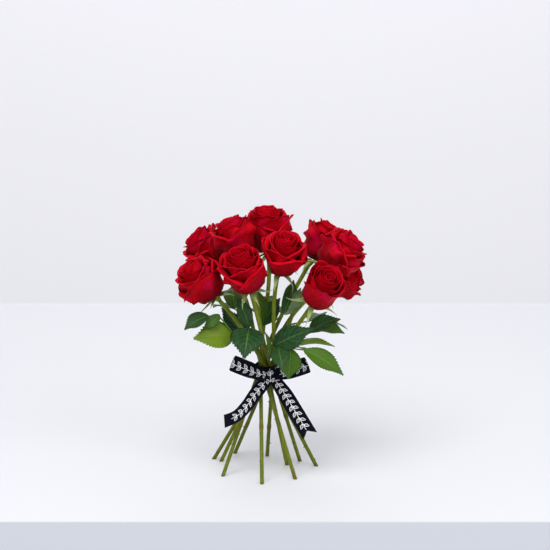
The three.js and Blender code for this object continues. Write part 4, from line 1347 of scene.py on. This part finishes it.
# A single layer with the ribbon's flat map, for the print to be laid on.
def printSheet(name, grid, flat):
    rows, columns, _ = grid.shape
    index = np.arange(rows * columns).reshape(rows, columns)
    faces = np.stack([index[:-1, :-1], index[:-1, 1:], index[1:, 1:], index[1:, :-1]], -1).reshape(-1, 4)
    sheet = meshPiece(name, grid.reshape(-1, 3), faces)
    corners = flat.reshape(-1, 2)[faces.ravel()].astype(np.float32)
    sheet.data.uv_layers.new(name="flat").uv.foreach_set("vector", corners.ravel())
    return sheet


ribbonPaint = {
    "ground": ((0.001, 0.001, 0.004), (0.003, 0.003, 0.010)),
    "selvedge": (0.01, 0.01, 0.018),
    "ribPitch": 0.0055,  # in the flat map
    "threadPitch": 0.004,
    "mottleScale": 150,
    "ink": ((0.9, 0.91, 0.94), (1.0, 1.0, 1.0)),
    "inkScale": 1500,
}


# Black grosgrain: fine ribs across it, and a smooth selvedge along each side.
def ribbonLook():
    c = ribbonPaint
    look = Look("blackRibbon", IOR=1.16)
    across, along, _ = look.split(look.flat())
    ribs = look.maths("SINE", along * (2 * math.pi / c["ribPitch"]))
    threads = look.maths("SINE", across * (2 * math.pi / c["threadPitch"]))
    selvedge = look.step(abs(across * 10 - 1), 0.9, 0.94)
    mottle = look.noise(look.place, c["mottleScale"], 3)
    colour = look.mix(0.5 + 0.35 * ribs + 0.2 * mottle, *c["ground"])
    colour = look.mix(selvedge * 0.5, colour, c["selvedge"])
    bump = look.bump(ribs * (1 - selvedge) + 0.35 * threads + 0.6 * selvedge, 0.00012, 0.7)
    return look.varies(Base_Color=colour, Roughness=0.42 + 0.12 * ribs + 0.15 * mottle, Normal=bump)


def printLook():
    c = ribbonPaint
    look = Look("whitePrint", IOR=1.3)
    grain = look.noise(look.place, c["inkScale"], 2)
    colour = look.mix(grain, *c["ink"])
    return look.varies(Base_Color=colour, Roughness=0.55 + 0.2 * grain, Normal=look.bump(grain, 0.00008, 0.5))


def makeRibbon(look, ink):
    p = ribbon
    motif, tree = sprigMesh(), printGrower()
    parts = {"band": (*bandGrid(), "stretched", 0), "knot": (*knotGrid(), "gathered", 0)}
    for side, route in p["loops"].items():
        parts[f"loop_{side}"] = (*stripGrid(route), "folded", 0)
    for side, route in p["tails"].items():
        grid, flat, length = stripGrid(route, p["ends"][side], bothEnds=False)
        parts[f"tail_{side}"] = (grid[:, ::-1], flat[:, ::-1], length, "hung", max(p["ends"][side]))
    for name, (grid, flat, length, held, cutBack) in parts.items():
        skin = Skin()
        skin.blade(grid, flat, p["thickness"])
        piece = settle(skin.piece(f"ribbon_{name}", look), "ribbon", "ribbon_bow")
        sheet = printSheet(f"print_{name}", grid, flat)
        count = int((length - cutBack - sprig["endRoom"]) / sprig["pitch"])
        sizes = {"pitch": sprig["pitch"], "start": sprig["start"], "lift": p["thickness"] / 2 - sprig["sunk"]}
        sizes = {key: size / 1000 for key, size in sizes.items()}
        grown(sheet, tree, material=ink, sprig=motif, count=count, **sizes)
        settle(sheet, "ribbon_print", "ribbon_bow")
        length / 1000
    bpy.data.objects.remove(motif)
    print("ribbon tied:", ", ".join(parts))


view = {"at": (10.4, -2368.3, 701.5), "down": 10.7, "lens": 124.36}


def setCamera():
    camera = bpy.data.objects.new("camera", bpy.data.cameras.new("camera"))
    bpy.context.scene.collection.objects.link(camera)
    camera.location = (np.array(view["at"]) + shift) / 1000
    camera.rotation_euler = (math.radians(90 - view["down"]), 0, 0)
    camera.data.lens = view["lens"]
    camera.data.clip_end = 50
    bpy.context.scene.camera = camera
    print("camera set:", view["lens"], "mm")


# The table and the wall, in metres.
table = {
    "front": -0.219,
    "back": 1.066,
    "wide": 6,
    "thick": 0.12,
    "paint": (0.71, 0.715, 0.735),
    # Painted shade: the table's front face, below its top, is painted darker, as if turned away from the
    # lights.
    "edgePaint": (0.62, 0.64, 0.69),
    "frontShadeFrom": (-0.0005, -0.002),
}
wall = {"wide": 9, "back": 2.6, "low": -3, "high": 6, "paint": (0.895, 0.885, 0.905)}


def setTable():
    x, y0, y1, z = table["wide"], table["front"], table["back"], -table["thick"]
    corners = [(*corner, tall) for tall in (z, 0) for corner in ((-x, y0), (x, y0), (x, y1), (-x, y1))]
    faces = [(0, 3, 2, 1), (4, 5, 6, 7), (0, 1, 5, 4), (1, 2, 6, 5), (2, 3, 7, 6), (3, 0, 4, 7)]
    top = bpy.data.objects.new("table", bpy.data.meshes.new("table"))
    top.data.from_pydata(corners, [], faces)
    x, y, low, high = (wall[key] for key in ("wide", "back", "low", "high"))
    backdrop = bpy.data.objects.new("wall", bpy.data.meshes.new("wall"))
    backdrop.data.from_pydata([(-x, y, low), (x, y, low), (x, y, high), (-x, y, high)], [], [(0, 1, 2, 3)])
    for piece, colour in ((top, table["paint"]), (backdrop, wall["paint"])):
        bpy.context.scene.collection.objects.link(piece)
        paint = Look(piece.name + "Paint")
        faint = paint.noise(paint.place, 3, 2)
        shade = paint.mix(faint * 0.15, colour, tuple(c * 0.97 for c in colour))
        if piece is top:
            # Painted shade on the table's front face, below its top.
            belowTop = paint.step(paint.split(paint.place)[2], *table["frontShadeFrom"])
            shade = paint.mix(belowTop, shade, table["edgePaint"])
        piece.data.materials.append(paint.varies(Base_Color=shade, Roughness=0.75 + 0.1 * faint))
    print("table and wall set")


sky = {"colour": (0.93, 0.95, 1, 1), "strength": 0.66}
softboxes = {
    "left": {"at": (-0.7, -1.9, 3.0), "aim": (0, -0.1, 0.15), "size": 2.8, "power": 84},
    "right": {"at": (2.2, -2.3, 1.7), "aim": (0, -0.1, 0.15), "size": 2.4, "power": 34},
    "rear": {"at": (0, 1.9, 2.6), "aim": (0, 2.7, 0.8), "size": 1.2, "power": 12},
}


def setLight():
    world = bpy.data.worlds.new("studio")
    world.use_nodes = True
    world.node_tree.nodes["Background"].inputs["Color"].default_value = sky["colour"]
    world.node_tree.nodes["Background"].inputs["Strength"].default_value = sky["strength"]
    bpy.context.scene.world = world
    for name, box in softboxes.items():
        light = bpy.data.lights.new(name, "AREA")
        light.shape, light.size, light.energy = "DISK", box["size"], box["power"]
        lamp = bpy.data.objects.new(name, light)
        bpy.context.scene.collection.objects.link(lamp)
        lamp.location = box["at"]
        lamp.rotation_euler = (Vector(box["aim"]) - Vector(box["at"])).to_track_quat("-Z", "Y").to_euler()
    bpy.context.scene.view_settings.view_transform = "Standard"
    print("lights set:", len(softboxes))


setCamera()
setTable()
setLight()
makeBlooms(petalLook())
makeCanes(caneLook())
makeSepals(sepalLook())
makeLeaves(leafLook())
makeTwine(twineLook())
makeRibbon(ribbonLook(), printLook())
